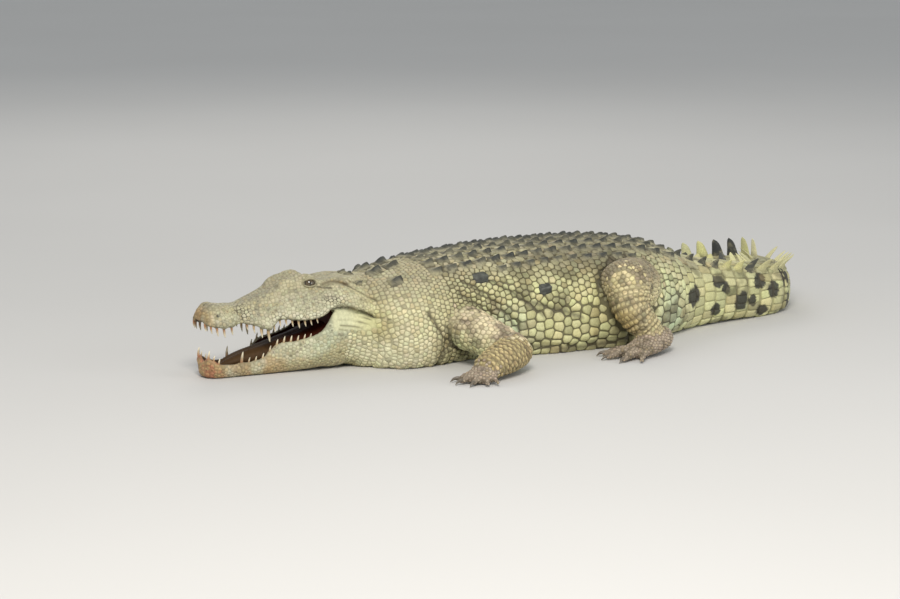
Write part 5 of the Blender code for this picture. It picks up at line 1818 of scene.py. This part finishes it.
def make_claws(material):
    """The claws of the toes that have one."""
    made = []
    for side in ("left", "right"):
        for which, _, palm, toes in LIMBS:
            for spread, length, half, clawed in toes:
                if not clawed:
                    continue
                rows, direction = toe_points(palm, spread, length, half)
                path = []
                for out, z, thick in CLAW:
                    x, y = rows[-1][:2] + direction * CLAW_LENGTH * out
                    path.append((x, y, z, thick * 0.85, thick))
                made.append(limb_rings(on_side(path, side, RIGHT_SHIFT[which]), 14, 5, 0.0))
    finish_piece(closed_object("claws", made, material), "skin")


# how far the cornea stands out, over the eyeball's radius, and the cosine of its half angle
CORNEA_BULGE, CORNEA_EDGE = 0.045, math.cos(math.radians(34))


def make_eye(side, name, material):
    """An eyeball whose own Z axis looks out and whose Y axis points up along the slit of the pupil."""
    facing, _, up = eye_axes(side)
    turn = np.arange(48) / 48 * 2 * math.pi
    rings = []
    for lift in np.radians(np.linspace(-89.5, 89.5, 41)):
        bulge = 1 + CORNEA_BULGE * ease(CORNEA_EDGE, 1.0, math.sin(lift))
        rings.append(np.stack([np.cos(turn) * math.cos(lift), np.sin(turn) * math.cos(lift),
                               np.full(48, math.sin(lift) * bulge)], axis=1) * EYE_RADIUS)
    piece = closed_object("eyeball_" + name, [rings], material)
    matrix = np.eye(4)
    matrix[:3] = np.stack([np.cross(up, facing), up, facing, eye_centre(side)], axis=1)
    piece.matrix_world = Matrix(matrix.tolist())
    bpy.context.view_layer.update()
    finish_piece(piece, "eye", "eye_" + name)


def make_tongue(material):
    """A plump, flat-topped tongue with a shallow groove and fine folds across it."""
    turn = np.arange(48) / 48 * 2 * math.pi
    rings = []
    for x in np.linspace(TONGUE[0][0], TONGUE[-1][0], 90):
        half, low, high = through(TONGUE, x)[0]
        across = half * np.sign(np.cos(turn)) * np.abs(np.cos(turn)) ** 0.8
        top = np.clip(np.sin(turn), 0, 1)
        z = (low + high) / 2 + (high - low) / 2 * np.sin(turn)
        z -= 0.0040 * top * hill(across, 0, 0.006) + 0.0010 * top * np.sin(x * 900 + 3 * np.cos(across * 90))
        rings.append(on_head(np.full(48, x), across, z))
    piece = closed_object("tongue_flesh", [rings], material)
    points = np.concatenate(rings)
    # the tongue is painted dark as the shade inside the mouth, and darker still towards the back
    shade = mix(MOUTH_GREY, TONGUE_BROWN, mottle(points, 0.02, 101))
    paint(piece, mix(shade, MOUTH_SHADE, ease(0.16, 0.30, head_frame(points)[:, 0])))
    finish_piece(piece, "mouth_lining", "tongue")


# ------------------------------------------------------------------ materials
class Shading:
    """A new material, and a short way to add its nodes."""

    def __init__(self, name):
        self.material = bpy.data.materials.new(name)
        self.material.use_nodes = True
        self.nodes = self.material.node_tree.nodes
        self.links = self.material.node_tree.links
        self.place = self.add("TexCoord", {}, "Object")

    def join(self, node, inputs):
        """Sets the node's inputs to values, or joins them to the outputs of other nodes."""
        for name, value in inputs.items():
            if isinstance(value, bpy.types.NodeSocket):
                self.links.new(value, node.inputs[name])
            else:
                node.inputs[name].default_value = value

    def add(self, kind, inputs, output):
        """One output of a new node that has these inputs."""
        node = self.nodes.new("ShaderNode" + kind)
        self.join(node, inputs)
        return node.outputs[output]

    def compute(self, operation, *values):
        """The result of an operation on one or two values."""
        node = self.nodes.new("ShaderNodeMath")
        node.operation = operation
        self.join(node, dict(enumerate(values)))
        return node.outputs[0]

    def noise(self, scale, **inputs):
        return self.add("TexNoise", {"Vector": self.place, "Scale": scale, **inputs}, "Fac")

    def spread(self, value, low, high, to_low=0.0, to_high=1.0):
        """The value's range from low to high, spread over another range."""
        return self.add("MapRange", {"Value": value, "From Min": low, "From Max": high, "To Min": to_low,
                                     "To Max": to_high}, "Result")

    def ramp(self, value, first, last, start=0.0, end=1.0):
        """A colour that goes from the first to the last as the value goes from start to end."""
        node = self.nodes.new("ShaderNodeValToRGB")
        low, high = node.color_ramp.elements
        low.color, low.position = (*first, 1), start
        high.color, high.position = (*last, 1), end
        self.join(node, {"Fac": value})
        return node.outputs["Color"]

    def blend(self, share, first, second):
        """The first colour, or the second where the share is 1."""
        node = self.nodes.new("ShaderNodeMix")
        node.data_type = "RGBA"
        self.join(node, {"Factor": share, "A": first, "B": second})
        return node.outputs["Result"]

    def finish(self, colour, roughness, **inputs):
        self.join(self.nodes["Principled BSDF"], {"Base Color": colour, "Roughness": roughness, **inputs})
        return self.material


def hide_material(name, roughness, grain, spread, bump, gloss=0.38):
    """Takes its colour from the piece's points, with a fine grain and a fine bump over it."""
    made = Shading(name)
    hide = made.nodes.new("ShaderNodeAttribute")
    hide.attribute_name = "hide"
    speckle = made.noise(grain, Detail=5, Roughness=0.62)
    level = made.spread(speckle, 0.30, 0.72, 1 - spread, 1 + spread)
    scaled = made.nodes.new("ShaderNodeVectorMath")
    scaled.operation = "SCALE"
    made.join(scaled, {0: hide.outputs["Color"], "Scale": level})
    fine = made.noise(grain * 3.4, Detail=4)
    relief = made.add("Bump", {"Strength": bump, "Distance": 0.0012, "Height": fine}, "Normal")
    return made.finish(scaled.outputs["Vector"], roughness, Normal=relief, **{"Specular IOR Level": gloss})


IRIS_RADIUS, PUPIL_HALF_WIDTH, PUPIL_HALF_HEIGHT = 0.0102, 0.0016, 0.0088


def eye_material():
    """A dark golden iris with an upright slit pupil, under a clear wet surface."""
    made = Shading("eyeball")
    split = made.nodes.new("ShaderNodeSeparateXYZ")
    made.join(split, {"Vector": made.place})
    x, y = split.outputs["X"], split.outputs["Y"]

    def squares(a, b):
        return made.compute("ADD", made.compute("POWER", a, 2.0), made.compute("POWER", b, 2.0))

    slit = squares(made.compute("ABSOLUTE", made.compute("DIVIDE", x, PUPIL_HALF_WIDTH)),
                   made.compute("ABSOLUTE", made.compute("DIVIDE", y, PUPIL_HALF_HEIGHT)))
    radius = made.compute("SQRT", squares(x, y))
    iris = made.ramp(made.noise(420), (0.022, 0.015, 0.006), (0.13, 0.085, 0.028), 0.35, 0.70)
    rim = made.spread(radius, IRIS_RADIUS, IRIS_RADIUS + 0.0026)
    outer = made.blend(rim, iris, (0.010, 0.008, 0.005, 1))
    whole = made.blend(made.spread(slit, 0.8, 1.3), (0.002, 0.002, 0.002, 1), outer)
    return made.finish(whole, 0.20, **{"Coat Weight": 1.0, "Coat Roughness": 0.02})


def claw_material():
    """Dark horn with paler streaks."""
    made = Shading("claw_horn")
    return made.finish(made.ramp(made.noise(240), (0.035, 0.028, 0.020), (0.22, 0.18, 0.13)), 0.42)


def floor_material():
    made = Shading("pale_floor")
    tint = made.ramp(made.noise(0.6), (0.56, 0.545, 0.52), (0.60, 0.585, 0.56))
    return made.finish(tint, 0.9, **{"Specular IOR Level": 0.1})


# ------------------------------------------------------------------ floor, light and camera
FLOOR_REACH = 40
AIM = Vector((0, -0.1, 0.1))     # what the lamps point at
# place, size, power and tint
LAMPS = {
    "key": ((-2.6, -4.4, 4.4), 2.4, 330, (1.0, 0.965, 0.91)),
    "fill": ((3.6, -5.4, 1.8), 3.5, 110, (0.94, 0.97, 1.0)),
    "rim": ((1.5, 4.6, 4.2), 3.0, 70, (1.0, 0.97, 0.92)),
}
CAMERA_PLACE, CAMERA_DOWN, CAMERA_TURN = (-4.0513, -6.7425, 1.4579), 9.7505, 60.8497
CAMERA_LENS = 118.4


def stage_and_light():
    """A pale floor, a pale world, and three soft lamps."""
    r = FLOOR_REACH
    floor = mesh_object("floor", [(-r, -r, 0), (r, -r, 0), (r, r, 0), (-r, r, 0)], [[(0, 1, 2, 3)]],
                        floor_material())
    world = bpy.data.worlds.new("studio")
    world.use_nodes = True
    back = world.node_tree.nodes["Background"]
    back.inputs["Color"].default_value = (0.90, 0.95, 1.0, 1)
    back.inputs["Strength"].default_value = 0.56
    bpy.context.scene.world = world
    for name, (where, size, power, tint) in LAMPS.items():
        light = bpy.data.lights.new(name, "AREA")
        light.shape = "DISK"
        light.size = size
        light.energy = power
        light.color = tint
        lamp = link(name, light)
        lamp.location = where
        lamp.rotation_euler = (AIM - Vector(where)).to_track_quat("-Z", "Y").to_euler()


def aim_camera():
    """The camera stands in front of the left side, a little above."""
    camera = bpy.data.cameras.new("camera")
    camera.lens = CAMERA_LENS
    camera.sensor_width = 36.0
    camera.clip_start, camera.clip_end = 0.1, 200
    made = link("camera", camera)
    made.location = CAMERA_PLACE
    made.rotation_euler = (math.radians(90 - CAMERA_DOWN), 0, math.radians(CAMERA_TURN - 90))
    bpy.context.scene.camera = made


# ------------------------------------------------------------------ the whole animal
FLESH = ["head", "lower_jaw", "neck", "trunk"] + ["tail_%d" % n for n in range(1, 6)] + [
    name + "_" + side for side in ("left", "right")
    for name in ("upper_arm", "forearm", "forefoot", "thigh", "shank", "hindfoot")]
# the pieces of the coat: kind of scale, parts, and side of the body (0 both, 1 left, -1 right)
COATS = {
    "coat_head": ("plate", ("head", "jaw"), 0),
    "coat_neck": ("granule", ("body",), 0),
    "coat_flank_left": ("flank", ("body",), 1),
    "coat_flank_right": ("flank", ("body",), -1),
    "coat_tail": ("whorl", ("body",), 0),
    "coat_forelegs": ("limb", ("upper_arm", "forearm"), 0),
    "coat_hindlegs": ("limb", ("thigh", "shank"), 0),
    "coat_feet": ("foot", ("fore_palm", "hind_palm", "fore_toe", "hind_toe"), 0),
}


def make_animal():
    # roughness, grain, how far the grain spreads the colour, bump, and gloss
    hide = hide_material("hide", 0.62, 170, 0.17, 0.30)
    scaled = hide_material("hide_scales", 0.55, 210, 0.15, 0.28)
    horn = hide_material("scute_horn", 0.60, 260, 0.22, 0.45)
    lining = hide_material("mouth_skin", 0.60, 120, 0.15, 0.35, 0.12)
    ivory = hide_material("ivory", 0.32, 300, 0.08, 0.12)

    parts = all_parts()
    places = Places(parts)
    skin, known, creased = make_skin(places, hide, lining)
    paint_skin(skin, places, known, creased)
    finish_piece(skin, "skin", *FLESH)

    scales = Scales(places, skin)
    lay_all(scales, parts)
    scales.settle()
    atlas = atlas_of(parts)
    settled = scales.settled
    names = places.names[settled.number]
    for n, (name, (kind, on_parts, side)) in enumerate(COATS.items()):
        mine = np.isin(names, on_parts) & (settled.kind == kind)
        if side:
            mine &= (settled.share > 0) == (side > 0)
        make_scales(name, np.flatnonzero(mine), scales, kind, scaled, atlas, 200 + n)

    make_shields(parts[0], scales, horn, atlas, 31)
    make_crests(horn, atlas, 32)
    make_teeth("upper", ivory, 33)
    make_teeth("lower", ivory, 34)
    make_claws(claw_material())
    glass = eye_material()
    make_eye(1, "left", glass)
    make_eye(-1, "right", glass)
    make_tongue(lining)


make_animal()
stage_and_light()
aim_camera()
bpy.context.scene.view_settings.view_transform = "Standard"
